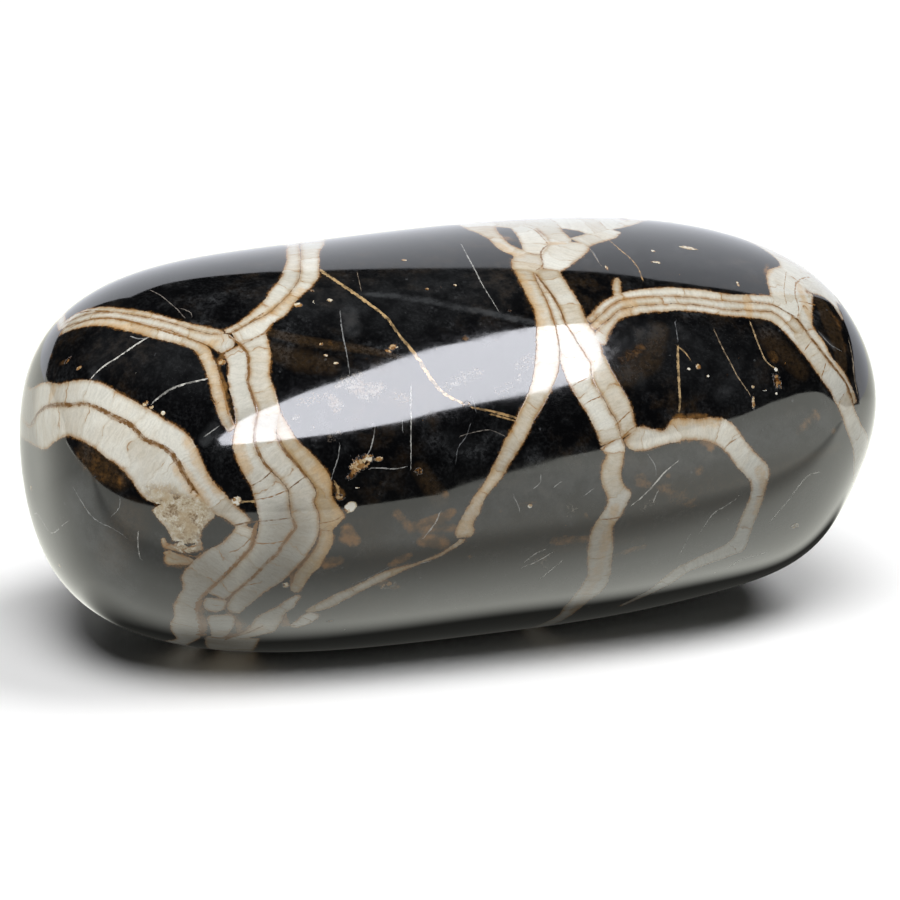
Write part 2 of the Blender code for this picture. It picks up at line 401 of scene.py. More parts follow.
# Threads, cracks and ribbons: how dark (0 white, 0.35 grey, 0.6 tan, 0.85 rust, 1 seam brown), half width
# in view units, one for all or one for each place, and the places that they run through in turn.
THREADS = (
    # ribbons of the thin tan veins
    (0.60, (3.5, 2.7, 2.6, 2.6, 2.6, 2.4, 2.2, 2, 2, 2.4, 2.8, 2.6, 2.4, 2, 1.6, 1.4, 0.9),
     (318,269, 330,277, 341,284, 354,293, 368,303, 380,312, 388,319, 393,326, 400,336, 411,349, 419,360,
      430,377, 439,389, 450,397, 462,403, 467,404.5, 470,405)),
    (0.72, 0.9, (609,240, 618,248, 630,258, 638,268, 643,281)),
    (0.45, 0.6, (590,249, 596,258, 601,266)),
    (0.58, (1.2, 1.9, 1.7, 1.6, 1.4), (678,346, 678,362, 679,380, 680,398, 679,412)),
    (0.62, (1.6, 1.0, 0.4), (678,347, 684,351, 690,359)),
    (0.50, (0.6, 1.0, 1.2, 0.9, 0.6), (714,330, 722,347, 730,362, 738,377, 751,396)),
    (0.55, (1.0, 1.5, 1.3, 1.0, 1.0), (750,322, 755,335, 759,346, 766,361, 776,369)),
    (0.70, (1.0, 1.4, 1.6, 0.8), (470,407, 490,411, 506,415, 520,419)),
    (0.70, (1.0, 1.2, 0.6), (490,414, 505,418, 515,421)),
    (0.65, (1.0, 2.2, 1.2), (338,496, 338,488, 334,482)),
    (0.60, (1.8, 1.6, 1.7, 2.4), (239,501, 245,502, 251,501.5, 257,501)),
    (0.45, (0.4, 1.2, 1.8, 1.8, 1.4, 0.5), (848,338, 851,350, 853,362, 854,374, 856,386, 858,396)),
    # white threads
    (0.00, (0.8, 1.3, 1.4, 1.2, 1.4, 1.5, 1.2, 0.8),
     (89,381, 97,372, 106,364.5, 116,358.5, 126,351.5, 136,344.5, 146,338.5, 156,333)),
    (0.05, (0.8, 1.5, 1.8, 1.7, 1.5, 0.9), (152,403, 161,395.5, 171,389, 183,384.5, 197,381, 211,378)),
    (0.25, 0.9, (131,336, 137,338.5, 146,338.5)),
    (0.40, 0.7, (150,290, 160,295, 170,303, 177,309, 184,317)),
    (0.40, 0.6, (180,308, 190,312, 192,317)),
    (0.30, (0.5, 0.9, 1.1, 1.0, 0.8, 0.6), (340,310, 341,322, 343,336, 346,350, 348,362, 350,374)),
    (0.20, (0.5, 0.9, 0.9, 0.5), (375,427, 373,440, 370,450, 365,457)),
    (0.15, (0.6, 0.9, 1.0, 0.9, 0.7, 0.5), (411,384, 411,401, 411,419, 411,437, 411,453, 411,469)),
    (0.20, 0.8, (405,467, 393,469, 381,468, 370,468)),
    (0.30, 0.6, (402,420, 403,433)),
    (0.25, 0.7, (340,445, 338,458, 334,470, 331,480)),
    (0.45, 0.6, (357,272, 361,290)),
    (0.15, (0.6, 1.0, 1.1, 1.0, 0.9, 0.6), (461,244, 468,257, 475,270, 482,284, 490,297, 499,312)),
    (0.40, 0.6, (460,436, 475,432, 490,430, 505,436)),
    (0.35, 0.7, (592,250, 599,262)),
    (0.35, 0.7, (675,322, 678,341)),
    (0.30, 0.7, (648,455, 655,465, 656,476)),
    (0.00, (0.7, 1.2, 1.4, 1.2, 0.6), (632,505, 642,497, 653,486, 664,473, 678,461)),
    (0.10, 0.9, (653,502, 658,491)),
    (0.10, (0.5, 1.0, 1.1, 1.0, 0.5), (700,533, 707,522, 714,513, 724,507, 736,499)),
    (0.20, 0.8, (680,554, 687,540, 691,534)),
    (0.05, (0.5, 1.0, 1.2, 1.2, 1.0, 0.6), (770,522, 779,511, 789,500, 798,487, 809,475, 820,472)),
    (0.15, 0.8, (728,568, 740,560, 755,556, 767,552)),
    (0.05, (0.6, 1.3, 0.6), (525,562, 535,554, 546,549)),
    (0.05, (0.6, 1.3, 0.6), (523,567, 538,561, 551,553)),
    (0.10, (0.6, 1.2, 0.6), (540,579, 551,570, 563,560)),
    (0.25, 0.7, (541,475, 540,483, 533,489)),
    (0.25, 0.8, (513,495, 518,505, 520,511)),
    (0.20, 0.9, (554,487, 561,482)),
    (0.25, 0.7, (585,495, 593,489)),
    (0.05, (0.5, 1.2, 1.4, 0.8), (424,538, 430,530, 436,522, 440,512)),
    (0.30, (0.5, 1.0, 1.0, 0.8, 0.7, 0.5), (73,487, 80,499, 89,513, 99,522, 112,528, 126,537)),
    (0.10, 0.8, (138,531, 138,545, 140,558)),
    (0.30, 0.6, (120,497, 119,508, 112,516)),
    (0.30, 0.8, (819,332, 825,339, 831,345, 841,351)),
    (0.35, 0.7, (352,584, 370,577, 389,567)),
    (0.15, 0.9, (430,561, 410,566, 394,572, 365,583)),
    (0.20, 0.7, (205,436, 212,431, 219,426)),
    (0.30, 0.6, (470,395, 474,403, 476,412)),
    (0.35, 0.6, (470,425, 466,437, 458,448, 456,462)),
    # seams and cracks across the crystal
    (0.93, (1.2, 1.8, 2.0, 1.8, 1.4, 1.0), (279,436, 282,446, 288,455, 296,463, 301,470, 306,478)),
    (0.88, (1.4, 2.4, 2.6, 2.4, 2.2, 2.2, 1.9, 1.8, 2.2, 2.8, 3.2, 4.0, 4.8, 4.6),
     (257,522, 254.5,531, 253,540, 250,548, 243,556, 235,565, 227,573, 218,582, 209,590, 201,599, 198,608,
      200,617, 203,626, 201,636)),
    (0.92, (1.4, 1.6, 1.3, 1.4, 2.4, 1.8, 1.7, 1.6, 1.6, 1.6, 1.2, 1.0, 0.9),
     (291,519, 296,527, 290,535, 283,544, 277,554, 267,562, 260,570, 251,579, 241,587, 232,595, 228,601,
      225,609, 229,614)),
    (0.92, (1.0, 1.2, 1.4, 1.8, 2.4, 2.6, 1.6),
     (319.5,530, 318,540, 314,549, 306,559, 299,567, 293,575, 291,583)),
    (0.84, 0.7, (246,585.5, 253,584, 261,582.5)),
    (0.90, 0.9, (182,550, 188,555, 196,556.5, 201,553)),
    (0.85, 0.8, (183,549.5, 192,546.5, 201,545)),
    (0.86, (1.2, 2.2, 2.4, 1.6), (225,640, 235,635, 245,630, 251,625)),
    (0.86, (1.0, 2.4, 2.8, 1.4), (234,616, 238,622, 239,628, 237,632)),
    (0.86, (1.0, 2.2, 1.8, 1.0), (286,613, 285,620, 289,625, 296,626)),
    (0.90, 0.9, (548,245, 542,250, 541,256, 543,264, 538,270)),
    (0.95, (0.7, 1.1, 1.2, 1.4, 1.1, 0.8), (535,273, 541,280.5, 549,291, 556,301, 560,309, 565,322)),
    (0.86, (0.5, 0.7, 0.8, 0.7), (541,288, 546,300, 551,312, 555,326)),
    (0.84, (0.7, 1.0, 0.9, 0.7), (528,227, 536,231, 543,238, 548,244)),
    (0.93, (1.0, 1.4, 1.5, 1.3, 1.3, 1.2, 1.0),
     (228,336, 240,345, 248,356, 248.5,374, 248.5,384, 253,398, 257,414)),
    (0.93, (1.2, 1.5, 1.6, 1.5, 1.4, 1.2), (257,414, 255,430, 255,442, 259,453, 265,464, 273,472)),
    (0.90, (0.8, 1.1, 1.0, 0.9), (228,334.5, 240,329, 252,321, 263,313)),
    (0.90, (0.8, 1.0, 1.0, 0.9), (240,345, 251,340, 264,333, 273,323)),
    (0.84, 0.7, (240,345, 231,349, 222,353)),
    (0.90, (0.6, 0.9, 1.1, 1.2, 1.2, 1.1, 0.9, 0.8),
     (70,328, 85,321, 104,318, 126,320.5, 150,327, 170,333, 190,339, 206,345)),
    (0.90, (0.9, 1.2, 1.2, 1.0), (62,323, 76,314, 92,311, 112,312)),
    (0.95, (0.8, 1.1, 1.4, 1.8, 1.7, 1.6, 1.3, 1.0),
     (772,304, 785,311, 797,319, 812,339, 826,357, 838,372, 848,387, 853,403)),
    (0.84, 0.8, (796,282, 795,294, 798.5,307, 798,318)),
    (0.80, 1.0, (796,284, 801,279, 810,277)),
    (0.95, (1.2, 1.8, 2.4, 2.2, 1.8, 2.2, 3.0, 2.6, 2.2, 2.0, 2.6, 2.6, 2.4, 1.8, 1.4),
     (30,426, 41,410, 56,405, 70,405, 86,404, 100,409, 116,418, 131,425, 143,438, 156,444, 168,450, 177,461,
      184,474, 191,485, 198,494)),
    (0.95, 0.7, (251,486, 262,480, 272,471)),
    (0.95, 0.7, (289,489, 298,482, 306,476)),
    (0.84, 0.7, (255,500, 270,497, 288,490)),
    (0.95, 0.8, (258,521.5, 275,520, 291,518)),
    (0.95, 0.9, (232,526, 245,523, 258,521.5)),
    (0.84, 0.7, (256,543, 270,543.5, 284,541)),
    (0.84, 0.6, (321,523, 333,521, 343,515.5)),
    (0.85, 0.6, (321,530, 331,531)),
    (0.84, 0.7, (618,423, 626,415, 633,409)),
    (0.84, 0.8, (622,438, 629,431, 636,426)),
    (0.84, 0.8, (602,450, 611,442, 622,438)),
    (0.85, 0.6, (583,405, 592,400, 600,397)),
    (0.85, 0.6, (572,386, 581,381, 590,377)),
    (0.85, 0.6, (601,519, 610,519, 620,517)),
    (0.85, 0.6, (724,449, 731,442, 740,437)),
    (0.84, 0.8, (798,301, 804,302, 811,304, 815,305)),
    (0.84, 0.6, (811,341, 808,346, 804,351)),
    (0.84, 0.6, (826,362, 824,370, 821,378)),
    (0.84, 0.6, (844,394, 842,397, 839,401)),
    (0.80, 0.4, (786,272, 784,290, 787,306)),
    (0.85, 0.5, (212,400, 216,405, 219,402)),
    (0.80, 1.0, (220,380, 224,392, 226,403, 229,416)),
    (0.85, 0.8, (229,552, 236,550.5, 243,546, 250,539)),
    (0.90, 1.2, (200,636, 225,638, 247,633, 262,626)),
    # threads of the hidden sides
    (0.60, (2.2, 2.8, 2.4, 2.6, 2.0), back(-5.2,10.6, -1.6,9.2, 2.8,9.6, 7.6,8.6, 14.0,9.9)),
    (0.55, (1.0, 2.0, 1.8, 2.2, 1.6, 1.0),
     top(-7.4,6.0, -10.4,7.4, -13.6,7.2, -16.8,7.9, -19.6,6.6, -21.3,3.8)),
    (0.60, (1.0, 1.6, 1.8, 1.0), back(3.6,17.0, 5.8,14.4, 8.9,13.6, 14.6,14.6)),
    (0.58, (1.2, 1.8, 1.6, 1.0), under(-13.6,1.6, -8.0,-1.2, -2.4,-0.4, 4.2,-0.6)),
    (0.05, (0.5, 1.2, 1.3, 0.8), back(-19.0,9.6, -17.6,7.6, -17.2,5.4, -18.4,3.4)),
    (0.15, (0.5, 1.0, 1.2, 0.9, 0.5), back(-12.6,10.4, -11.4,8.4, -9.6,7.0, -9.2,5.2, -10.6,4.0)),
    (0.10, (0.5, 1.2, 1.2, 0.5), back(0.6,7.4, 3.0,6.2, 4.2,4.4, 7.0,3.6)),
    (0.25, (0.5, 1.0, 0.9, 0.5), (back(-1.4, 5.0), back(0.2, 3.4), under(1.8, 8.2), under(2.0, 5.4))),
    (0.10, (0.5, 1.1, 1.2, 0.6), back(9.4,19.2, 8.2,17.2, 9.0,15.6, 8.4,14.2)),
    (0.20, (0.5, 1.0, 1.0, 0.5), back(17.4,10.2, 18.6,8.0, 18.2,5.6, 19.6,4.2)),
    (0.15, (0.5, 1.1, 1.1, 0.5), right(-4.6,12.2, -1.8,11.6, 0.8,13.4, 2.6,13.0)),
    (0.30, (0.5, 0.9, 0.9, 0.5), right(4.0,16.0, 2.0,14.6, 1.4,12.8, -0.8,11.4)),
    (0.20, (0.5, 1.1, 1.0, 0.5), left(-5.0,9.6, -2.4,8.2, 0.2,8.6, 2.8,7.2)),
    (0.15, (0.5, 1.2, 1.0, 0.5), back(-14.4,18.6, -12.6,17.0, -12.2,15.8, -11.0,14.4)),
    (0.30, (0.5, 1.0, 0.5), top(-16.6,2.0, -14.4,3.4, -13.6,5.8)),
    (0.10, (0.5, 1.1, 1.1, 0.5), top(9.4,6.6, 10.8,5.2, 11.2,3.6, 12.6,2.0)),
    (0.15, (0.5, 1.1, 0.5), under(-6.0,4.8, -3.2,5.6, -1.2,3.8)),
    (0.10, (0.5, 1.1, 1.1, 0.5), under(9.6,-3.2, 11.8,-1.0, 14.6,-0.6, 16.2,1.4)),
)

# Small crystals and beads: how golden (0 white, 0.4 cream gold, 0.7 gold, 1 rust), half length and half
# width in view units, turn in degrees, and place.
CRYSTALS = (
    (0.22, 5.0, 4.6, 10, (236.5, 501)), (0.70, 5.0, 4.2, 10, (221.5, 362)), (0.00, 2.4, 2.2, 0, (163, 413)),
    (0.15, 7.0, 5.2, 35, (350.5, 507)), (0.80, 5.0, 3.0, -25, (339.5, 497)),
    (0.65, 9.5, 6.2, 28, (360, 464)), (0.45, 5.5, 4.0, -20, (369, 458)), (0.75, 6.0, 3.6, 50, (352, 474)),
    (0.30, 4.2, 2.4, 5, (379, 459)), (0.85, 4.0, 3.2, 0, (419, 471)), (0.90, 4.2, 2.6, 25, (466, 404)),
    (0.00, 2.2, 2.2, 0, (776, 369.5)), (0.80, 5.0, 7.0, 15, (777, 381)),
    (0.00, 1.4, 1.3, 0, (776.5, 393.5)), (0.55, 1.6, 7.5, 4, (753.5, 402)), (0.20, 1.8, 1.6, 0, (753, 387)),
    (0.55, 3.0, 2.8, 0, (698.5, 367)), (0.00, 1.8, 1.4, 0, (689, 369)), (0.05, 1.5, 1.2, 0, (708, 376)),
    (0.45, 1.6, 4.2, 15, (606.5, 268)), (0.55, 1.6, 4.2, 10, (738, 284)), (0.40, 2.4, 2.0, 0, (653, 251)),
    (0.35, 10, 3.8, 5, (689, 248)), (0.50, 5.0, 2.2, 5, (656, 262)), (0.30, 5.5, 3.6, -30, (795, 526)),
    (0.10, 2.6, 2.4, 0, (530, 506)), (0.40, 2.8, 2.2, 0, (330, 300)), (0.60, 1.8, 1.6, 0, (312, 291)),
    (0.35, 2.8, 2.2, 0, (404, 260)), (0.60, 2.0, 1.6, 0, (455, 285)), (0.60, 1.8, 1.6, 0, (427, 289)),
    (0.70, 1.8, 1.6, 0, (510, 311)), (0.45, 4.6, 3.0, 30, (393, 347)), (0.55, 3.4, 2.2, -20, (388, 351)),
    (0.30, 4.5, 3.4, 10, (298, 305)), (0.65, 3.6, 2.6, 30, (145, 404)), (0.50, 2.2, 1.8, 0, (151, 407)),
    (0.55, 3.2, 2.4, 0, (79, 368)), (0.85, 5.2, 2.2, 20, (68, 360)), (0.45, 2.6, 1.6, 20, (321, 344)),
    (0.40, 2.2, 1.4, 0, (326, 355)), (0.60, 2.4, 1.4, 10, (336, 363)), (0.90, 7.0, 4.6, 15, (388, 585)),
    (0.70, 3.0, 2.2, 0, (330, 621)), (0.40, 3.6, 3.2, 0, (285.5, 585)),
    (0.50, 2.4, 2.0, 0, back(-6.0, 17.4)), (0.65, 7.0, 4.6, 30, back(-14.6, 6.6)),
    (0.35, 4.0, 3.0, 70, back(-13.8, 5.8)), (0.70, 6.0, 4.0, -20, back(5.8, 11.4)),
    (0.20, 3.0, 2.4, 0, back(6.8, 11.0)), (0.15, 2.4, 2.2, 0, back(10.6, 16.8)),
    (0.60, 5.4, 3.0, 50, back(19.2, 8.8)), (0.10, 2.2, 2.0, 0, back(-19.8, 7.2)),
    (0.55, 3.4, 2.4, 20, back(1.2, 5.2)), (0.75, 4.4, 3.2, -40, right(2.6, 14.8)),
    (0.10, 2.4, 2.2, 0, right(-1.2, 12.6)), (0.60, 4.0, 2.6, 15, left(1.2, 9.8)),
    (0.40, 2.8, 2.0, 0, left(-2.2, 6.2)), (0.65, 6.4, 4.0, 35, under(1.6, 3.6)),
    (0.30, 3.0, 2.4, 0, under(-5.4, 2.4)), (0.55, 4.0, 2.6, 60, under(12.4, 3.2)),
)

# Soft patches. Each is a strength, and the places that it is drawn through, each with its radius in view
# units.
RUST_PATCHES = (
    (1.1, (414,527,8, 440,520,8, 452,512,6)), (1.3, (346,530,8, 353,541,9)), (1.3, (425,541,9, 440,543,10)),
    (1.3, (328,563,9, 339,560,7)), (1.2, (398,560,7, 409,556,5)), (1.4, (387,585,6, 395,587,5)),
    (0.7, (395,512,6, 412,530,6)), (0.8, (555,541,7, 590,540,6)), (0.7, (645,546,5, 612,556,5)),
    (0.6, (748,530,6, 735,552,5)), (0.6, (815,415,9, 800,430,7)), (0.6, (690,430,6, 712,448,6)),
    (0.7, (462,527,5, 424,530,6)), (0.8, (390,565,5, 405,560,4)), (0.7, (470,557,4)),
    (0.7, (585,515,4, 590,519,3)), (0.6, (565,538,5, 571,544,4)), (0.6, (700,545,4)),
    (0.6, (520,505,4, 536,502,3)), (0.9, (223,356,6, 216,366,5, 222,380,4, 228,398,3)),
    (1.0, (336,489,6, 342,494,5)), (0.8, (424,541,9, 438,542,10, 447,545,6)), (0.9, (345,536,9, 353,540,8)),
    (0.9, (330,561,8, 338,562,6)), (1.0, (200,606,5, 203,620,6, 201,635,6)),
    (0.9, (224,594,5, 238,620,8, 243,626,9, 232,634,7, 222,640,5)), (0.8, (283,617,6, 286,625,7)),
    (1.0, (180,560,12)), (0.8, (772,356,9)), (0.6, (60,364,5, 68,360,4)),
    (0.45, (622,360,6, 632,352,8, 642,348,5)), (0.8, (676,418,5, 690,417,5, 706,416,4)),
    (0.8, (764,484,5, 762,500,4)), (0.7, (640,480,9, 648,486,6)), (0.7, (700,470,7)),
    (0.8, (382,583,9, 396,588,6)), (0.6, (296,232,5, 330,344,4)), (0.8, (768,264,4, 764,274,3)),
    (0.4, (80,455,14, 100,470,14, 118,483,10)), (0.3, (826,306,6, 838,322,6, 845,350,5)),
    (0.5, (660,490,10, 690,500,12)), (0.6, (500,236,7, 512,240,7)), (0.6, (562,231,6, 575,235,5)),
)
BROWN_VEILS = (
    (0.35, (380,550,45, 480,545,50, 600,530,50, 700,505,50, 790,480,45)),
    (0.8, (560,548,9, 590,545,8, 640,540,7)), (0.7, (700,490,8, 735,484,8, 800,462,8, 840,446,6)),
    (0.6, (130,520,26, 110,560,22)),
    (0.8, (268,332,6, 300,340,7, 330,345,7, 360,349,6, 385,354,5, 402,358,3)),
    (0.5, (270,350,12, 300,360,16, 330,366,12)), (0.6, (90,455,22, 118,478,16)),
    (0.5, (620,380,14, 650,360,16, 660,330,12)), (0.5, (770,340,18, 800,370,14)),
    (0.6, (440,500,12, 420,470,10)), (0.4, (640,470,18, 680,490,22, 720,480,14)),
    (1.5, (822,304,11, 830,322,14, 838,345,12, 842,366,9)), (0.7, (214,366,7, 222,392,6, 230,412,5)),
)
SMOKE_VEILS = (
    (0.55, (400,535,28, 480,512,34, 560,490,34, 640,472,26, 760,440,26, 822,424,24)),
    (0.6, (430,600,26, 540,590,30, 620,575,30, 700,555,30, 780,520,30, 822,488,24)),
    (0.6, (80,500,30, 110,560,40, 130,600,30)), (0.9, (506,237,12)), (0.7, (820,334,5, 834,348,5)),
    (0.9, (357,294,4, 395,296,5, 430,301,5, 460,308,5, 490,313,5, 515,319,5, 536,323,4)),
    (0.5, (350,312,14, 352,330,12)), (0.6, (205,440,8, 214,428,8)), (0.5, (570,520,10, 556,506,8)),
    (0.35, (616,350,8, 640,332,14, 676,330,12, 700,345,10)), (0.3, (640,380,14, 612,366,8)),
    (0.4, (735,380,10, 720,395,10)), (0.5, (100,395,5, 92,372,6)), (0.15, (470,450,14, 450,440,12)),
    (0.24, (290,300,45, 400,300,55, 490,285,45)), (0.26, (670,258,26, 720,262,24, 750,268,14)),
    (0.14, (640,345,45, 740,370,45)), (0.20, (110,345,35, 190,365,40)),
)
CREAM_CLOUDS = (
    (0.55, (446,388,7, 462,378,8, 480,372,6)), (0.5, (520,366,8, 538,356,7)), (0.5, (300,402,6, 318,398,7)),
    (0.6, (536,562,6, 543,558,7, 553,552,4)), (0.55, (731,564,5, 741,561,6, 750,555,4)), (0.9, (792,526,4)),
    (0.5, (652,501,5, 643,509,4)), (0.4, (590,606,5)), (1.0, (352,385,9, 366,392,12, 380,388,8)),
    (0.9, (337,406,9, 330,396,6)), (0.8, (296,418,6)), (0.7, (312,428,4)),
    (0.9, (338,386,5, 346,380,5, 362,374,5)), (0.6, (398,396,7, 410,400,5)), (0.5, (330,438,5, 338,434,4)),
    (0.4, (500,392,7, 520,380,6)), (0.4, (570,510,8)), (0.5, (545,566,6)), (0.5, (656,500,4)),
)
AMBER_PATCHES = (
    (0.8, (188,442,9, 198,460,9, 210,478,9, 224,494,9)),
    (0.75, (521,276,9, 527,292,9, 537,312,12, 541,332,9)), (1.0, (745,292,6, 748,305,7, 749,317,6)),
    (0.8, (624,300,9, 634,305,8, 622,318,7)), (0.9, (548,243,6, 563,243,6)),
    (0.8, (498,244,7, 512,254,7, 521,256,7)),
    (0.7, (520,395,12, 508,420,12, 494,450,14, 480,490,14, 466,530,14)),
    (0.8, (318,470,10, 336,494,12, 342,515,12, 330,540,9, 320,570,9)), (0.8, (54,388,9, 50,398,7)),
    (0.9, (236,428,7, 238,446,9, 246,468,9)), (0.8, (178,468,9, 192,486,11, 204,503,11)),
    (0.7, (630,372,7, 637,395,7, 642,412,7)), (0.7, (660,422,8, 690,420,9, 716,422,8)),
    (0.8, (760,470,8, 764,488,8, 756,512,6)), (0.8, (615,508,7, 606,540,8, 590,588,9, 572,614,9)),
    (0.9, (205,634,8, 236,632,11, 260,628,9)),
    (0.7, (225,338,8, 204,346,8, 214,366,9, 220,395,9, 226,414,8)),
    (0.7, (272,338,7, 273,366,7, 278,392,7)), (0.6, (300,290,8, 282,306,9, 262,318,8)),
    (0.7, (150,330,8, 120,327,9, 84,326,9)), (0.8, (798,284,6, 806,310,8, 822,338,7, 842,372,7)),
    (0.8, (772,262,8, 764,276,7)), (0.7, (590,330,8, 600,322,8)), (0.6, back(-3.0,14.6,14, -1.0,16.0,14)),
    (0.6, back(15.6,16.4,14, 15.2,13.6,14)), (0.6, under(-13.0,-4.0,18, -8.0,2.0,16)),
)
# Painted shade: patches that grey and darken the vein crystal at the left end, at the foot, on the upper
# left trunk and where the softbox's reflection crosses the veins.
PAINTED_SHADE_PATCHES = (
    (0.45, (238,424,18, 262,418,20, 288,420,14)), (0.45, (536,350,24, 560,350,26, 590,344,22)),
    (0.22, (236,350,26, 243,388,26)), (1.0, (30,385,42, 27,430,48, 36,470,36)),
    (0.55, (205,545,45, 205,590,50, 210,640,45)), (0.62, (285,530,38, 262,600,42)),
)
DRUSE = (
    (0.45, (152,492,13, 172,494,14)), (1.0, (160,508,14, 178,510,22, 196,512,16, 184,530,18, 186,545,12)),
)

PATCHES = {
    "stain": RUST_PATCHES,
    "brown_veil": BROWN_VEILS,
    "smoke": SMOKE_VEILS,
    "flecks": CREAM_CLOUDS,
    "amber": AMBER_PATCHES,
    # painted shade of the vein crystal
    "dull": PAINTED_SHADE_PATCHES,
    "druse": DRUSE,
}

# Where the stage shows in the polish, as places of the view. The softbox is given by its upper and lower
# edge, the curtain by its upper edge, and the table by its front edge. The curtain hangs straight down from
# its upper edge, but between CURTAIN_HEM_FROM and CURTAIN_HEM it gathers to one foot, below the latter.
SOFTBOX_IMAGE = (
    (218,440, 222,446), (240,421, 243,443), (278,405, 276,440), (310,391, 308,437), (340,380, 338,434),
    (375,367, 372,427), (410,355, 406,420), (440,346, 438,412), (470,340, 468,406), (500,333, 500,400),
    (530,328, 532,393), (560,325, 562,386), (586,323, 588,379), (595,332, 601,362),
)
CURTAIN_IMAGE = (
    44,384, 47,370, 52,352, 60,333, 75,317, 95,306, 130,297, 165,284, 200,278, 265,272, 330,270, 395,268,
    460,268, 540,270, 620,275, 660,280, 700,286, 735,291, 765,296, 780,293, 795,291, 805,289, 812,288,
    817,289, 822,291, 828,296, 835,303, 840,311, 844,320, 849,334, 852,348, 854,363, 856,380,
)
CURTAIN_HEM_FROM = 610
CURTAIN_HEM = (828, 296)
TABLE_EDGE_IMAGE = (
    66,440, 88,468, 110,490, 150,505, 200,512, 270,513, 330,510, 380,504, 440,494, 500,475, 560,457,
    620,446, 680,431, 740,415, 770,402, 797,394, 808,391.5, 816,391, 824,394, 834,402, 846,407, 860,404,
)

# ----------------------------------------
# Shape of the stone


def oval_body(directions, stone):
    """Where each direction from the centre meets the blunt oval body.

    With u, v, w the shares of the half length, depth and height, and e, g the end and girth bluntness,
    the body is where u^e + (v^g + w^g)^(e/g) = 1.
    """
    shares = np.abs(directions / [stone.half_length, stone.half_depth, stone.half_height])
    girth = shares[:, 1] ** stone.girth_bluntness + shares[:, 2] ** stone.girth_bluntness
    total = shares[:, 0] ** stone.end_bluntness + girth ** (stone.end_bluntness / stone.girth_bluntness)
    return directions / total[:, None] ** (1 / stone.end_bluntness)


def above_flat(heights, easing):
    """Heights over the resting flat: unchanged above it, 0 below it, and a parabola between the two."""
    eased = (heights + easing) ** 2 / (4 * easing)
    return np.where(heights > easing, heights, np.where(heights < -easing, 0.0, eased))


def stone_surface(directions, stone):
    """The oval body, tapered and arched along its length, flattened below, and swelled.

    Depth grows by the depth taper and height by the height taper, each times the share of the length. Both
    ends rise by the arch times that share squared. Each swell pushes outward by its height times
    exp(-(distance / radius)^2).
    """
    points = oval_body(directions, stone)
    share = points[:, 0] / stone.half_length
    centre = stone.half_height * (1 - stone.flat_share)
    points[:, 1] *= 1 + stone.depth_taper * share
    points[:, 2] = points[:, 2] * (1 + stone.height_taper * share) + stone.arch * share**2 + centre
    points[:, 2] = above_flat(points[:, 2], stone.easing)
    slope = (points - [0, 0, centre]) / np.square([stone.half_length, stone.half_depth, stone.half_height])
    slope /= np.linalg.norm(slope, axis=1, keepdims=True)
    push = np.zeros(len(points))
    for place, radius, height in SWELLS:
        push += height * np.exp(-np.sum((points - place) ** 2, axis=1) / radius**2)
    points += slope * push[:, None]
    points[:, 2] = np.maximum(points[:, 2], 0)
    low = points.min(axis=0)
    high = points.max(axis=0)
    return points - [(low[0] + high[0]) / 2, (low[1] + high[1]) / 2, low[2]]


def box_grid(cells):
    """Nodes and outward four-cornered faces of a box-shaped grid, with the nodes of its edges shared."""
    cells = np.array(cells)
    rows = []
    for axis in range(3):
        first = (axis + 1) % 3
        second = (axis + 2) % 3
        i, j = np.meshgrid(np.arange(cells[first]), np.arange(cells[second]), indexing="ij")
        for side in (0, cells[axis]):
            corners = np.zeros((4,) + i.shape + (3,), int)
            corners[..., axis] = side
            for corner, (di, dj) in enumerate(((0, 0), (1, 0), (1, 1), (0, 1))):
                corners[corner, ..., first] = i + di
                corners[corner, ..., second] = j + dj
            corners = corners.reshape(4, -1, 3).swapaxes(0, 1)
            rows.append(corners if side else corners[:, ::-1])
    corners = np.concatenate(rows)
    codes = (corners[..., 0] * (cells[1] + 1) + corners[..., 1]) * (cells[2] + 1) + corners[..., 2]
    made, faces = np.unique(codes, return_inverse=True)
    rest, up = np.divmod(made, cells[2] + 1)
    along, across = np.divmod(rest, cells[1] + 1)
    return np.stack([along, across, up], 1), faces.reshape(-1, 4)


def grid_directions(nodes, cells, half_sizes):
    """The direction through each node: the half sizes times tan of an angle from -45 to 45 degrees."""
    return np.tan((2 * nodes / np.array(cells) - 1) * math.pi / 4) * half_sizes


# ----------------------------------------
# Laying lines on the stone


OUTSIDE = 60.0  # millimetres from the middle of the stone, well outside it
BESIDE = 1.5  # millimetres by which a place of the view may miss the stone
LINE_STEPS = 4  # points of a traced line for each of its places
POINTS_AT_ONCE = 3000  # surface points measured together, to save memory
NOTHING = 1e-9  # keeps a division clear of zero


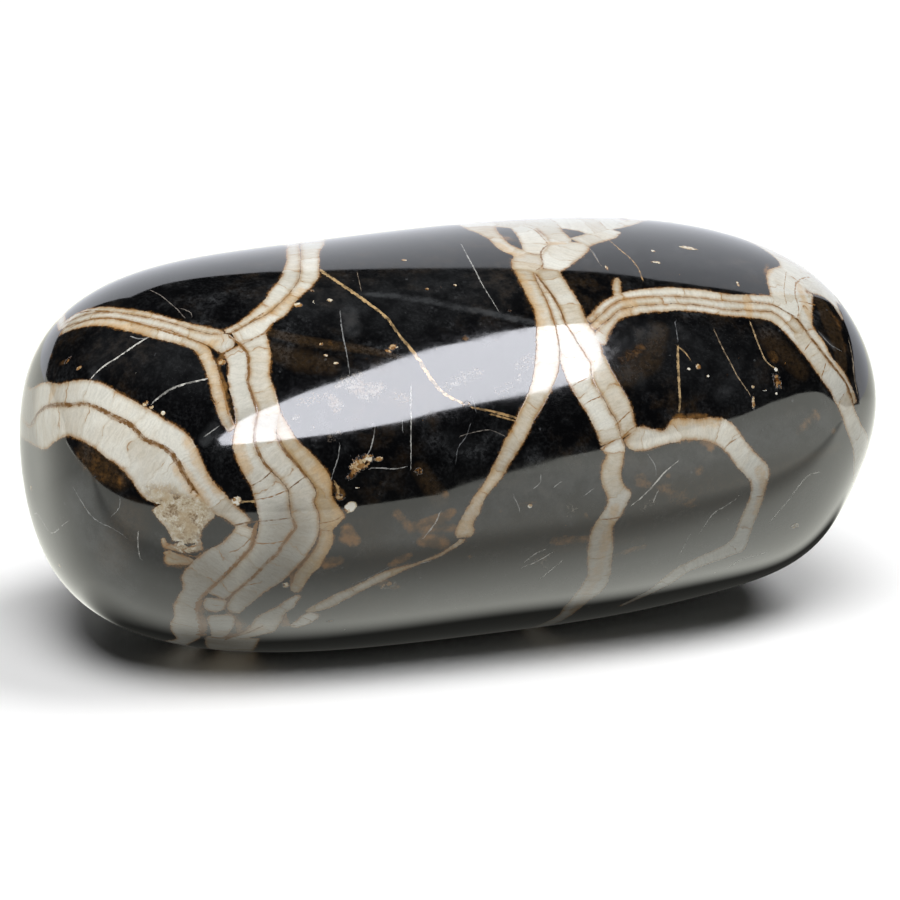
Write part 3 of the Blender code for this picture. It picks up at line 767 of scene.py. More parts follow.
class Skin:
    """The stone's surface in millimetres, which rays and lines are laid on."""

    def __init__(self, mesh):
        count = len(mesh.vertices)
        self.points = np.empty(count * 3)
        mesh.vertices.foreach_get("co", self.points)
        self.points = self.points.reshape(-1, 3) / MM
        corners = np.empty(len(mesh.loops), int)
        mesh.loops.foreach_get("vertex_index", corners)
        self.tree = BVHTree.FromPolygons(self.points.tolist(), corners.reshape(-1, 4).tolist())
        self.middle = VIEW_TARGET / MM
        self.axes = view_axes()
        self.eye = self.middle + self.axes[2] * VIEW_DISTANCE / MM

    def view_ray(self, x, y):
        """The direction from the eye through a place of the view."""
        rightward, upward, backward = self.axes
        reach = VIEW_SIZE * VIEW_LENS / VIEW_SENSOR
        half = VIEW_SIZE / 2
        return (rightward * (x - half) + upward * (half - y) - backward * reach).normalized()

    def hit(self, place):
        """The surface point and outward direction at a place, or nearest to one just beside the stone."""
        if isinstance(place[0], str):
            side, a, b = place
            start, towards = {
                "top": ((a, b, OUTSIDE), (0, 0, -1)),
                "under": ((a, b, -OUTSIDE), (0, 0, 1)),
                "back": ((a, OUTSIDE, b), (0, -1, 0)),
                "left": ((-OUTSIDE, a, b), (1, 0, 0)),
                "right": ((OUTSIDE, a, b), (-1, 0, 0)),
            }[side]
            start = Vector(start)
            towards = Vector(towards)
        else:
            start = self.eye
            towards = self.view_ray(*place)
        found = self.tree.ray_cast(start, towards)
        if found[0] is None:
            abreast = start + towards * (self.middle - start).dot(towards)
            found = self.tree.find_nearest(abreast, BESIDE)
        if found[0] is None:
            raise RuntimeError(f"the place {place} is beside the stone")
        return found[0], found[1]

    def line(self, row):
        """A smooth line through the places of a row, kept on the surface, and its outward directions.

        Between two places it is a cubic whose slope at each place is half the chord of its neighbours.
        """
        marks = np.array([self.hit(place)[0] for place in places(row)])
        ends = np.vstack([2 * marks[0] - marks[1], marks, 2 * marks[-1] - marks[-2]])
        a, b, c, d = (ends[i : len(ends) - 3 + i, None] for i in range(4))
        t = np.linspace(0, 1, LINE_STEPS, endpoint=False)[None, :, None]
        bend = a - 2.5 * b + 2 * c - d / 2
        curve = b + t * (c - a) / 2 + t**2 * bend + t**3 * (1.5 * (b - c) + (d - a) / 2)
        curve = np.vstack([curve.reshape(-1, 3), marks[-1:]])
        found = [self.tree.find_nearest(point)[:2] for point in curve]
        return np.array([point for point, _ in found]), np.array([outward for _, outward in found])


def side_directions(line, outward):
    """The direction to the left of a line at each of its points: outward crossed with its heading."""
    heading = np.gradient(line, axis=0)
    side = np.cross(outward, heading)
    return side / (np.linalg.norm(side, axis=1, keepdims=True) + NOTHING)


def travel(line):
    """The distance travelled along a line at each of its points."""
    return np.concatenate([[0], np.cumsum(np.linalg.norm(np.diff(line, axis=0), axis=1))])


def beside_line(points, line, side):
    """For each point, its signed distance to the left of a line, and its place along it as a share.

    The nearest point of each stretch is found, then the nearest stretch. Past the ends the place is below 0
    or above 1, by the overshoot over the line's length.
    """
    start = line[:-1]
    stretch = line[1:] - start
    squares = np.sum(stretch**2, axis=1) + 1e-12
    lengths = np.sqrt(squares)
    travelled = np.concatenate([[0], np.cumsum(lengths)])
    distances = np.empty(len(points))
    shares = np.empty(len(points))
    for first in range(0, len(points), POINTS_AT_ONCE):
        block = points[first : first + POINTS_AT_ONCE]
        offset = block[:, None] - start[None]
        share = np.einsum("psk,sk->ps", offset, stretch) / squares
        held = np.clip(share, 0, 1)
        gap = offset - held[..., None] * stretch
        nearest = np.argmin(np.einsum("psk,psk->ps", gap, gap), axis=1)
        row = np.arange(len(block))
        gap = gap[row, nearest]
        part = held[row, nearest][:, None]
        leftward = (1 - part) * side[nearest] + part * side[nearest + 1]
        sign = np.sign(np.sum(gap * leftward, axis=1))
        distances[first : first + POINTS_AT_ONCE] = np.linalg.norm(gap, axis=1) * sign
        part = share[row, nearest]
        part = np.where(nearest == 0, part, np.maximum(part, 0))
        part = np.where(nearest == len(start) - 1, part, np.minimum(part, 1))
        reached = travelled[nearest] + part * lengths[nearest]
        shares[first : first + POINTS_AT_ONCE] = reached / travelled[-1]
    return distances, shares


def near_points(skin, line, reach):
    """Which surface points are within reach of a line, judged by every third point of it."""
    low = line.min(axis=0) - reach
    high = line.max(axis=0) + reach
    index = np.nonzero(np.all((skin.points > low) & (skin.points < high), axis=1))[0]
    closest = np.full(len(index), np.inf)
    for point in np.vstack([line[::3], line[-1:]]):
        closest = np.minimum(closest, np.sum((skin.points[index] - point) ** 2, axis=1))
    return index[closest < reach**2]


LANE_MARGIN = 1.4  # millimetres outside a lane where points are measured
LANE_REACH = 0.8  # millimetres outside a lane where its gaps are kept
ASTRAY = (1.8, 0.2)  # times the lane's width, and millimetres more: gaps that add up to it don't belong
LANE_LOW = (-2, -2, -50)  # limits of the two gaps and the distance along, in millimetres
LANE_HIGH = (2, 2, 300)


def lay_lane(skin, stations):
    """Gaps to both lines of a lane and the distance along it, at the surface points near it.

    A gap is positive inside the lane. Both gaps are cut down to the distance from the lane's nearer end. A
    point past an end can seem to be inside both lines, and then its gaps add up to too much.
    """
    pairs = [places(station) for station in stations]
    first, first_out = skin.line(tuple(pair[0] for pair in pairs))
    second, second_out = skin.line(tuple(pair[1] for pair in pairs))
    middle = (first + second) / 2
    widths = np.linalg.norm(first - second, axis=1)
    near = near_points(skin, middle, widths.max() / 2 + LANE_MARGIN)
    points = skin.points[near]
    first_side = side_directions(first, first_out)
    second_side = side_directions(second, second_out)
    inward = np.sign(np.sum((second - first) * first_side, axis=1).mean())
    first_gap, first_place = beside_line(points, first, first_side * inward)
    second_gap, second_place = beside_line(points, second, -second_side * inward)
    place = (first_place + second_place) / 2
    travelled = travel(middle)
    length = travelled[-1]
    width = np.interp(place, travelled / length, widths)
    astray = np.minimum(first_gap, second_gap) > 0
    astray &= first_gap + second_gap > ASTRAY[0] * width + ASTRAY[1]
    ends = np.where(astray, -1, np.minimum(place, 1 - place) * length)
    first_gap = np.minimum(first_gap, ends)
    second_gap = np.minimum(second_gap, ends)
    keep = np.minimum(first_gap, second_gap) > -LANE_REACH
    values = np.stack([first_gap, second_gap, place * length], 1)[keep]
    return near[keep], np.clip(values, LANE_LOW, LANE_HIGH)


THREAD_MARGIN = 0.9  # millimetres outside a thread where points are measured
THREAD_REACH = 0.8  # millimetres outside a thread where its distances are kept
THREAD_FRAY = 0.45  # millimetres outside a thread past which it can't fray
THREAD_END = -0.02  # millimetres past its end where a thread stops


def lay_thread(skin, half_widths, row):
    """Signed distance from a thread, its half width and the distance along it, at the points near it."""
    line, outward = skin.line(row)
    widths = np.broadcast_to(np.array(half_widths, float), len(places(row))) / UNITS_PER_MM
    near = near_points(skin, line, widths.max() + THREAD_MARGIN)
    gap, place = beside_line(skin.points[near], line, side_directions(line, outward))
    travelled = travel(line)
    half = np.interp(place, travelled[::LINE_STEPS] / travelled[-1], widths)
    ends = np.minimum(place, 1 - place) * travelled[-1]
    half = np.where((ends < THREAD_END) | (np.abs(gap) > widths.max() + THREAD_FRAY), 0, half)
    keep = np.abs(gap) < widths.max() + THREAD_REACH
    return near[keep], np.stack([gap, half, place * travelled[-1]], 1)[keep]


CRYSTAL_MARGIN = 0.7  # millimetres outside a crystal where its positions are kept


def lay_crystal(skin, half_length, half_width, turn, place):
    """Position on a small crystal in shares of its half sizes, and 1 for near, at the points near it."""
    centre, outward = skin.hit(place)
    across = (skin.axes[0] - outward * skin.axes[0].dot(outward)).normalized()
    upward = outward.cross(across)
    angle = math.radians(turn)
    first = np.array(across * math.cos(angle) + upward * math.sin(angle))
    second = np.array(upward * math.cos(angle) - across * math.sin(angle))
    sizes = np.array([half_length, half_width]) / UNITS_PER_MM
    offset = skin.points - np.array(centre)
    near = np.nonzero(np.sum(offset**2, axis=1) < (sizes.max() + CRYSTAL_MARGIN) ** 2)[0]
    offset = offset[near]
    return near, np.stack([offset @ first / sizes[0], offset @ second / sizes[1], np.ones(len(near))], 1)


def soft_patch(skin, strength, row):
    """A soft field along a path of places and radii: strength times 1 - (distance / radius)^2."""
    field = np.full(len(skin.points), -1.0)
    spots = places(row, 3)
    centres = [np.array(skin.hit(spot[:-1])[0]) for spot in spots]
    radii = [spot[-1] / UNITS_PER_MM for spot in spots]
    if len(spots) == 1:
        centres = centres * 2
        radii = radii * 2
    for start, end, start_radius, end_radius in zip(centres, centres[1:], radii, radii[1:]):
        stretch = end - start
        share = np.clip((skin.points - start) @ stretch / (stretch @ stretch + NOTHING), 0, 1)
        distance = np.linalg.norm(skin.points - start - share[:, None] * stretch, axis=1)
        radius = start_radius + share * (end_radius - start_radius)
        field = np.maximum(field, strength * (1 - (distance / radius) ** 2))
    return field


def point_attribute(mesh, name, kind):
    """A mesh's attribute of one kind with a value for each point."""
    return mesh.attributes.get(name) or mesh.attributes.new(name, kind, "POINT")


def store_layers(mesh, kind, marks, empty):
    """Keeps marks of one kind as attributes of four values for each point, and their number on the mesh.

    Marks that stay clear of one another share a layer. Each mark is its points, their three values and a
    fourth value for all of them.
    """
    layers = []
    for near, values, fourth in marks:
        for taken, table in layers:
            if not taken[near].any():
                break
        else:
            taken = np.zeros(len(mesh.vertices), bool)
            table = np.tile(np.array(empty, float), (len(taken), 1))
            layers.append((taken, table))
        taken[near] = True
        table[near, :3] = values
        table[near, 3] = fourth
    for number, (_, table) in enumerate(layers):
        attribute = point_attribute(mesh, f"{kind}_{number}", "FLOAT_COLOR")
        attribute.data.foreach_set("color", np.ascontiguousarray(table, np.float32).ravel())
    mesh[f"{kind}_layers"] = len(layers)


# ----------------------------------------
# Node helpers


def add_node(tree, kind, values=(), output=0, **settings):
    """Adds a shader node, sets or links its inputs in order, and returns one of its outputs."""
    node = tree.nodes.new("ShaderNode" + kind)
    for name, value in settings.items():
        setattr(node, name, value)
    pairs = values.items() if isinstance(values, dict) else enumerate(values)
    for place, value in pairs:
        if isinstance(value, bpy.types.NodeSocket):
            tree.links.new(value, node.inputs[place])
        elif value is not None:
            node.inputs[place].default_value = value
    return node.outputs[output]


def own_tree(*values):
    """The tree that the first socket among some values belongs to."""
    return next(value.id_data for value in values if isinstance(value, bpy.types.NodeSocket))


def math_node(operation, *values):
    return add_node(own_tree(*values), "Math", values, operation=operation)


def times(first, second):
    return math_node("MULTIPLY", first, second)


def uneven(value, noise, amount):
    """A value with an amount of noise added, where the noise counts from its middle, one half."""
    return math_node("MULTIPLY_ADD", math_node("SUBTRACT", noise, 0.5), amount, value)


def step_between(value, low, high, low_result=0.0, high_result=1.0):
    """A smooth step of a value from low to high."""
    values = (value, low, high, low_result, high_result)
    return add_node(own_tree(value), "MapRange", values, interpolation_type="SMOOTHSTEP")


def blend_colour(share, first, second, blend="MIX"):
    values = {0: share, 6: first, 7: second}
    return add_node(own_tree(share, first), "Mix", values, 2, data_type="RGBA", blend_type=blend)


def noise_value(place, scale, detail=2.0, roughness=0.5):
    values = {"Vector": place, "Scale": scale, "Detail": detail, "Roughness": roughness}
    return add_node(own_tree(place), "TexNoise", values)


def vector_of(x, y, z):
    return add_node(own_tree(x, y, z), "CombineXYZ", (x, y, z))


def parts_of(vector):
    return add_node(own_tree(vector), "SeparateXYZ", (vector,)).node.outputs


def ramp_colour(value, stops):
    """The colour at a value of a ramp. Each stop is a position and a display colour."""
    tree = own_tree(value)
    ramp = tree.nodes.new("ShaderNodeValToRGB")
    elements = ramp.color_ramp.elements
    elements.remove(elements[0])
    elements[0].position = 0.0
    for position, _ in stops[1:]:
        elements.new(position)
    for element, (_, colour) in zip(elements, stops):
        element.color = opaque(linear(*colour))
    tree.links.new(value, ramp.inputs[0])
    return ramp.outputs[0]


# The kinds of the groups' sockets. Every other socket is a plain value.
VECTOR_SOCKETS = ("Place", "Lane", "Spot", "Thread", "Bead")
COLOUR_SOCKETS = ("Colour", "Bleed colour", "Black", "Brown", "Grey", "Cream", "Tan", "Rust", "Seam")


def new_group(name, inputs, outputs):
    """An empty node group with named sockets, and its input and output nodes' sockets."""
    old = bpy.data.node_groups.get(name)
    if old:
        bpy.data.node_groups.remove(old)
    group = bpy.data.node_groups.new(name, "ShaderNodeTree")
    for in_out, labels in (("INPUT", inputs), ("OUTPUT", outputs)):
        for label in labels:
            kind = "Vector" if label in VECTOR_SOCKETS else "Color" if label in COLOUR_SOCKETS else "Float"
            group.interface.new_socket(label, in_out=in_out, socket_type="NodeSocket" + kind)
    return group, group.nodes.new("NodeGroupInput").outputs, group.nodes.new("NodeGroupOutput").inputs


def link_results(group, result, values):
    """Links values to the named outputs of a group."""
    for name, value in values.items():
        group.links.new(value, result[name])


def use_group(tree, group, values):
    """Places a group in a tree, gives it those values that it has inputs for, and returns its outputs."""
    node = tree.nodes.new("ShaderNodeGroup")
    node.node_tree = group
    for name, value in values.items():
        if name not in node.inputs:
            continue
        if isinstance(value, bpy.types.NodeSocket):
            tree.links.new(value, node.inputs[name])
        else:
            node.inputs[name].default_value = value
    return dict(node.outputs.items())


def new_material(mesh, name):
    """The tree of a new material that a mesh wears, still without nodes."""
    material = bpy.data.materials.new(name)
    material.use_nodes = True
    material.node_tree.nodes.clear()
    mesh.materials.append(material)
    return material.node_tree


def show_shader(tree, shader, kind="Material"):
    """Sends a shader to the output of a material's or the world's tree."""
    end = tree.nodes.new("ShaderNodeOutput" + kind)
    tree.links.new(shader, end.inputs["Surface"])


def linear(red, green, blue):
    """A display colour, in parts of 255, as scene light."""
    parts = np.array([red, green, blue]) / 255
    parts = np.where(parts <= 0.04045, parts / 12.92, ((parts + 0.055) / 1.055) ** 2.4)
    return tuple(round(float(part), 4) for part in parts)


def opaque(colour):
    return tuple(colour) + (1.0,)


# ----------------------------------------
# Node groups of the finish


AMBER_COLOUR = (186, 152, 104)
# The grey that painted shade darkens the vein crystal towards.
PAINTED_SHADE_COLOUR = (122, 116, 104)
THREAD_COLOURS = (
    (0.0, (196, 194, 187)),
    (0.35, (112, 114, 116)),
    (0.60, (178, 150, 108)),
    (0.85, (134, 96, 52)),
    (1.0, (84, 56, 28)),
)
CRYSTAL_COLOURS = (
    (0.0, (214, 211, 200)),
    (0.35, (182, 166, 134)),
    (0.65, (146, 110, 66)),
    (0.90, (94, 60, 28)),
    (1.0, (44, 28, 14)),
)
# Tones of the druse: dark brown, which is painted shade among the grains, through rusty tan to grey-white.
DRUSE_AND_SHADE_COLOURS = (
    (0.0, (84, 64, 44)),
    (0.25, (138, 118, 92)),
    (0.55, (176, 164, 140)),
    (1.0, (204, 200, 188)),
)
# Pin specks and soft spots of the ground: spacing and size in millimetres, the share of places without one,
# the softness of the edge in millimetres, strength, and colour.
SPECKS = (
    (1.3, 0.046, 0.62, 0.012, 1.0, "Cream"),
    (0.65, 0.036, 0.76, 0.012, 1.0, "Grey"),
    (1.1, 0.040, 0.66, 0.012, 1.0, "Rust"),
    (0.8, 0.13, 0.50, 0.11, 0.55, "Grey"),
    (1.9, 0.34, 0.62, 0.22, 0.42, "Rust"),
)


def lane_step_group():
    """One layer of lanes over those before it: keeps the two greatest depths and the top lane's spot."""
    group, given, result = new_group(
        "Jasper lane step",
        ("Lane", "Lane tan", "Wander", "Depth", "Next depth", "Spot"),
        ("Depth", "Next depth", "Spot"),
    )
    split = parts_of(given["Lane"])
    first = math_node("SUBTRACT", split[0], given["Wander"])
    second = math_node("ADD", split[1], given["Wander"])
    depth = math_node("MINIMUM", first, second)
    over = math_node("GREATER_THAN", depth, given["Depth"])
    lesser = math_node("MINIMUM", depth, given["Depth"])
    spot = vector_of(first, split[2], given["Lane tan"])
    chosen = add_node(group, "Mix", {0: over, 4: given["Spot"], 5: spot}, 1, data_type="VECTOR")
    depth = math_node("MAXIMUM", depth, given["Depth"])
    lesser = math_node("MAXIMUM", lesser, given["Next depth"])
    link_results(group, result, {"Depth": depth, "Next depth": lesser, "Spot": chosen})
    return group


def crystal_fill_group():
    """Banded crystal: fibres across the lane, cloudy tone, rusty edges, dark seams, cross cracks and
    painted shade.
    """
    group, given, result = new_group(
        "Jasper banded crystal",
        ("Place", "Spot", "Depth", "Next depth", "Crack spacing")
        + ("Cream", "Tan", "Rust", "Seam", "Amber", "Dull"),
        ("Colour", "Mask", "Bleed", "Bleed colour", "Groove"),
    )
    place = given["Place"]
    across, along, tan = parts_of(given["Spot"])
    cloud = noise_value(place, 0.55, 3.0)
    patchy = noise_value(place, 1.9, 3.0, 0.6)
    grit = noise_value(place, 9.0, 3.0, 0.65)
    waver = math_node("MULTIPLY_ADD", patchy, 0.5, along)
    fibre_place = vector_of(times(waver, 9.0), across, 0.0)
    fibre = noise_value(fibre_place, 1.0, 2.0, 0.6)
    broad_place = vector_of(times(waver, 2.6), across, 7.0)
    broad = noise_value(broad_place, 1.0, 2.0, 0.5)
    teeth_place = vector_of(times(waver, 5.0), across, 3.0)
    teeth = noise_value(teeth_place, 1.0, 2.0, 0.7)

    shift = uneven(cloud, patchy, 0.16)
    spaced = math_node("ADD", math_node("DIVIDE", along, given["Crack spacing"]), shift)
    block = add_node(group, "TexVoronoi", {"W": spaced, "Scale": 1.0}, "Color", voronoi_dimensions="1D")
    block = add_node(group, "SeparateColor", (block,)).node.outputs
    edge = {"voronoi_dimensions": "1D", "feature": "DISTANCE_TO_EDGE"}
    crack = add_node(group, "TexVoronoi", {"W": spaced, "Scale": 1.0}, "Distance", **edge)

    tone = uneven(tan, cloud, 0.8)
    tone = uneven(tone, broad, 0.5)
    tone = uneven(tone, block[0], 0.45)
    near_edge = step_between(given["Depth"], 0.03, 0.36, 0.42, 0.0)
    tone = math_node("ADD", tone, near_edge)
    tone = math_node("ADD", tone, step_between(crack, 0.0, 0.11, 0.20, 0.0))
    tone = add_node(group, "Clamp", (tone, 0.0, 1.0))
    body = blend_colour(tone, given["Cream"], given["Tan"])
    fibres = step_between(fibre, 0.32, 0.62, 0.90, 1.03)
    grains = step_between(grit, 0.30, 0.60, 0.93, 1.02)
    blocks = math_node("MULTIPLY_ADD", block[1], 0.14, 0.92)
    shade = times(times(fibres, grains), blocks)
    grey = vector_of(shade, shade, shade)
    amber = uneven(given["Amber"], patchy, 1.6)
    amber = step_between(amber, 0.0, 1.0, 0.0, 0.58)
    body = blend_colour(amber, body, opaque(linear(*AMBER_COLOUR)))
    # Painted shade: the vein crystal greyed and darkened where the painted shade field is set.
    dull = step_between(given["Dull"], -0.1, 0.9, 0.0, 0.85)
    body = blend_colour(dull, body, opaque(linear(*PAINTED_SHADE_COLOUR)))
    body = blend_colour(1.0, body, grey, "MULTIPLY")

    ragged = uneven(given["Depth"], grit, 0.08)
    ragged = uneven(ragged, teeth, 0.12)
    joined = step_between(given["Next depth"], -0.12, -0.03)
    apart = math_node("SUBTRACT", 1.0, joined)
    rusting = step_between(patchy, 0.36, 0.60, 0.20, 1.0)
    glow = times(step_between(ragged, 0.0, 0.20, 0.88, 0.0), rusting)
    glow = times(glow, math_node("MULTIPLY_ADD", apart, 0.4, 0.6))
    body = blend_colour(glow, body, given["Rust"])
    strength = step_between(cloud, 0.38, 0.56, 0.25, 0.9)
    outline = times(step_between(ragged, 0.0, 0.045, 1.0, 0.0), strength)
    body = blend_colour(times(outline, apart), body, given["Seam"])
    fade = step_between(broad, 0.44, 0.64, 0.0, 0.7)
    cut = times(step_between(crack, 0.004, 0.026, 1.0, 0.0), fade)
    body = blend_colour(cut, body, given["Rust"])
    reach = step_between(patchy, 0.34, 0.66, 0.030, 0.090)
    seam = step_between(given["Depth"], times(reach, 0.25), reach, 1.0, 0.0)
    seam = times(seam, step_between(broad, 0.36, 0.60, 0.25, 0.65))
    line = blend_colour(step_between(cloud, 0.42, 0.62), given["Rust"], given["Seam"])
    body = blend_colour(times(seam, joined), body, line)

    mask = step_between(ragged, -0.012, 0.016)
    halo = uneven(given["Depth"], patchy, 0.24)
    halo = uneven(halo, teeth, 0.22)
    bleed = times(step_between(halo, -0.11, 0.01), 0.44)
    dust = blend_colour(step_between(grit, 0.44, 0.60), given["Seam"], given["Rust"])
    groove = times(step_between(ragged, -0.03, 0.05, 1.0, 0.0), mask)
    results = {"Colour": body, "Mask": mask, "Bleed": bleed, "Bleed colour": dust, "Groove": groove}
    link_results(group, result, results)
    return group


def thread_group():
    """A thin vein: a line of some half width, frayed by noise, whose darkness picks its colour."""
    group, given, result = new_group(
        "Jasper thread",
        ("Thread", "Darkness", "Place", "Under", "Colour"),
        ("Colour",),
    )
    gap, half, along = parts_of(given["Thread"])
    fray = noise_value(given["Place"], 5.0, 3.0, 0.6)
    shift = uneven(gap, fray, 0.08)
    distance = math_node("ABSOLUTE", shift)
    slim = step_between(given["Darkness"], 0.4, 0.9, 0.58, 1.0)
    width = times(half, step_between(fray, 0.30, 0.66, 0.60, 1.25))
    width = times(width, slim)
    inside = math_node("SUBTRACT", width, distance)
    mask = step_between(inside, -0.014, 0.016)
    mask = times(mask, math_node("GREATER_THAN", half, 0.004))
    beads = noise_value(given["Place"], 3.2, 2.0)
    mask = times(mask, step_between(beads, 0.36, 0.58, 0.30, 0.95))
    over = math_node("GREATER_THAN", given["Darkness"], 0.78)
    bared = math_node("MAXIMUM", math_node("SUBTRACT", 1.0, given["Under"]), over)
    mask = times(mask, bared)
    tone = ramp_colour(given["Darkness"], THREAD_COLOURS)
    link_results(group, result, {"Colour": blend_colour(mask, given["Colour"], tone)})
    return group


def bead_group():
    """A small crystal: a ragged oval with facets, from white through gold to rust, and a dark rim."""
    group, given, result = new_group(
        "Jasper small crystal",
        ("Bead", "Gold", "Place", "Colour", "Height"),
        ("Colour", "Height"),
    )
    first, second, near = parts_of(given["Bead"])
    flat = vector_of(first, second, 0.0)
    reach = add_node(group, "VectorMath", (flat,), "Value", operation="LENGTH")
    grain = noise_value(given["Place"], 6.0, 3.0, 0.7)
    rough = step_between(given["Gold"], 0.25, 0.5, 0.7, 2.2)
    reach = uneven(reach, grain, rough)
    present = math_node("GREATER_THAN", near, 0.95)
    mask = times(step_between(reach, 0.86, 1.04, 1.0, 0.0), present)
    facets = add_node(group, "TexVoronoi", {"Vector": given["Place"], "Scale": 5.5}, "Color")
    spark = add_node(group, "SeparateColor", (facets,)).node.outputs[0]
    tone = uneven(given["Gold"], spark, 0.8)
    tone = math_node("ADD", tone, step_between(reach, 0.55, 1.0, 0.0, 0.35))
    tone = ramp_colour(tone, CRYSTAL_COLOURS)
    colour = blend_colour(mask, given["Colour"], tone)
    raised = times(mask, math_node("MULTIPLY_ADD", spark, 0.6, 0.4))
    height = math_node("MAXIMUM", given["Height"], raised)
    link_results(group, result, {"Colour": colour, "Height": height})
    return group


def ground_group():
    """The black ground: brown and grey clouds, stains, cream flecks and scattered pin specks."""
    group, given, result = new_group(
        "Jasper black ground",
        ("Place", "Black", "Brown", "Grey", "Rust", "Cream", "Stain", "Brown veil", "Smoke", "Flecks"),
        ("Colour",),
    )
    place = given["Place"]
    broad = noise_value(place, 0.16, 4.0, 0.6)
    middle = noise_value(place, 0.9, 5.0, 0.65)
    fine = noise_value(place, 4.2, 4.0, 0.65)
    shifted = add_node(group, "VectorMath", (place, (31.0, 17.0, 5.0)), operation="ADD")
    other = noise_value(shifted, 0.45, 5.0, 0.62)

    warp = times(math_node("SUBTRACT", fine, 0.5), 0.35)
    warp = vector_of(warp, warp, warp)
    warped = add_node(group, "VectorMath", (place, warp), operation="ADD")
    brown = times(step_between(broad, 0.46, 0.66), step_between(middle, 0.42, 0.70))
    veil = step_between(given["Brown veil"], -0.1, 0.7)
    veil = times(veil, step_between(fine, 0.28, 0.62, 0.25, 1.0))
    brown = math_node("MAXIMUM", times(brown, 0.65), times(veil, 0.8))
    colour = blend_colour(brown, given["Black"], given["Brown"])
    wisps = times(step_between(other, 0.50, 0.72), step_between(fine, 0.34, 0.72))
    veil = step_between(given["Smoke"], -0.1, 0.9)
    veil = times(veil, step_between(middle, 0.30, 0.66, 0.25, 1.0))
    wisps = math_node("MAXIMUM", times(wisps, 0.34), times(veil, 0.46))
    colour = blend_colour(wisps, colour, given["Grey"])

    stain = uneven(given["Stain"], middle, 1.5)
    stain = uneven(stain, fine, 0.7)
    stain = step_between(stain, 0.05, 1.1)
    stain = times(stain, step_between(given["Stain"], -0.3, 0.3))
    rusting = step_between(middle, 0.40, 0.62, 0.2, 0.9)
    mottle = blend_colour(rusting, given["Brown"], given["Rust"])
    colour = blend_colour(times(stain, 0.82), colour, mottle)
    finest = noise_value(shifted, 6.0, 3.0, 0.7)
    haze = step_between(finest, 0.42, 0.70, 0.0, 0.09)
    haze = times(haze, step_between(middle, 0.34, 0.62))
    colour = blend_colour(haze, colour, given["Grey"])
    flecks = uneven(given["Flecks"], finest, 4.4)
    flecks = times(step_between(flecks, 0.25, 1.30), 0.30)
    rusting = step_between(middle, 0.4, 0.6, 0.3, 0.75)
    fleck_colour = blend_colour(rusting, given["Cream"], given["Rust"])
    colour = blend_colour(flecks, colour, fleck_colour)

    for spacing, size, bare, softness, strength, name in SPECKS:
        cells = add_node(group, "TexVoronoi", {"Vector": warped, "Scale": 1 / spacing}, "Distance")
        pick = add_node(group, "SeparateColor", (cells.node.outputs["Color"],)).node.outputs[1]
        growth = size / spacing / (1 - bare)
        radius = times(math_node("SUBTRACT", pick, bare), growth)
        speck = math_node("SUBTRACT", radius, cells)
        speck = step_between(speck, 0.0, softness / spacing, 0.0, strength)
        colour = blend_colour(speck, colour, given[name])
    link_results(group, result, {"Colour": colour})
    return group


def druse_group():
    """A druse: packed grains of quartz, grey-white and rusty, with dark brown painted shade among them,
    each with its own brightness and height.
    """
    group, given, result = new_group(
        "Jasper druse",
        ("Place", "Druse", "Mask", "Colour", "Rust"),
        ("Colour", "Height"),
    )
    place = given["Place"]
    grains = add_node(group, "TexVoronoi", {"Vector": place, "Scale": 3.4, "Randomness": 1.0}, "Distance")
    pick = add_node(group, "SeparateColor", (grains.node.outputs["Color"],)).node.outputs
    fine = noise_value(place, 7.0, 4.0, 0.7)
    field = step_between(uneven(given["Druse"], fine, 1.2), 0.0, 0.6)
    field = times(field, given["Mask"])
    tone = uneven(0.50, fine, 1.8)
    tone = uneven(tone, pick[0], 0.45)
    # Grain tones at random. The dark brown end paints shade among the grains.
    colour = ramp_colour(tone, DRUSE_AND_SHADE_COLOURS)
    stained = step_between(noise_value(place, 1.1, 2.0), 0.52, 0.66, 0.0, 0.7)
    colour = blend_colour(stained, colour, given["Rust"])
    colour = blend_colour(field, given["Colour"], colour)
    height = times(field, math_node("SUBTRACT", 1.0, grains))
    link_results(group, result, {"Colour": colour, "Height": height})
    return group


# ----------------------------------------
# Values that a user would change


class JasperShape(bpy.types.PropertyGroup):
    half_length: FloatProperty(
        name="Half length", description="Half the length of the oval body", default=0.0240, unit="LENGTH"
    )
    half_depth: FloatProperty(
        name="Half depth", description="Half the depth of the oval body", default=0.0135, unit="LENGTH"
    )
    half_height: FloatProperty(
        name="Half height", description="Half the height of the oval body", default=0.01175, unit="LENGTH"
    )
    end_bluntness: FloatProperty(
        name="End bluntness", description="2 for an ellipse, more for squarer ends", default=3.2
    )
    girth_bluntness: FloatProperty(
        name="Girth bluntness", description="2 for an elliptical girth, more for a squarer one", default=2.0
    )
    depth_taper: FloatProperty(
        name="Depth taper", description="Share by which the +X end is deeper", default=0.075
    )
    height_taper: FloatProperty(
        name="Height taper", description="Share by which the +X end is taller", default=-0.025
    )
    arch: FloatProperty(
        name="Arch", description="Rise of both ends above the middle", default=0.00025, unit="LENGTH"
    )
    flat_share: FloatProperty(
        name="Flat", description="Share of the half height that the resting flat cuts away", default=0.05
    )
    easing: FloatProperty(
        name="Flat easing", description="Half the height over which the flat eases into the round",
        default=0.0003, unit="LENGTH",
    )
    cells_along: IntProperty(name="Cells along", description="Grid cells along the stone", default=196)
    cells_across: IntProperty(
        name="Cells across", description="Grid cells across and up the stone", default=98
    )


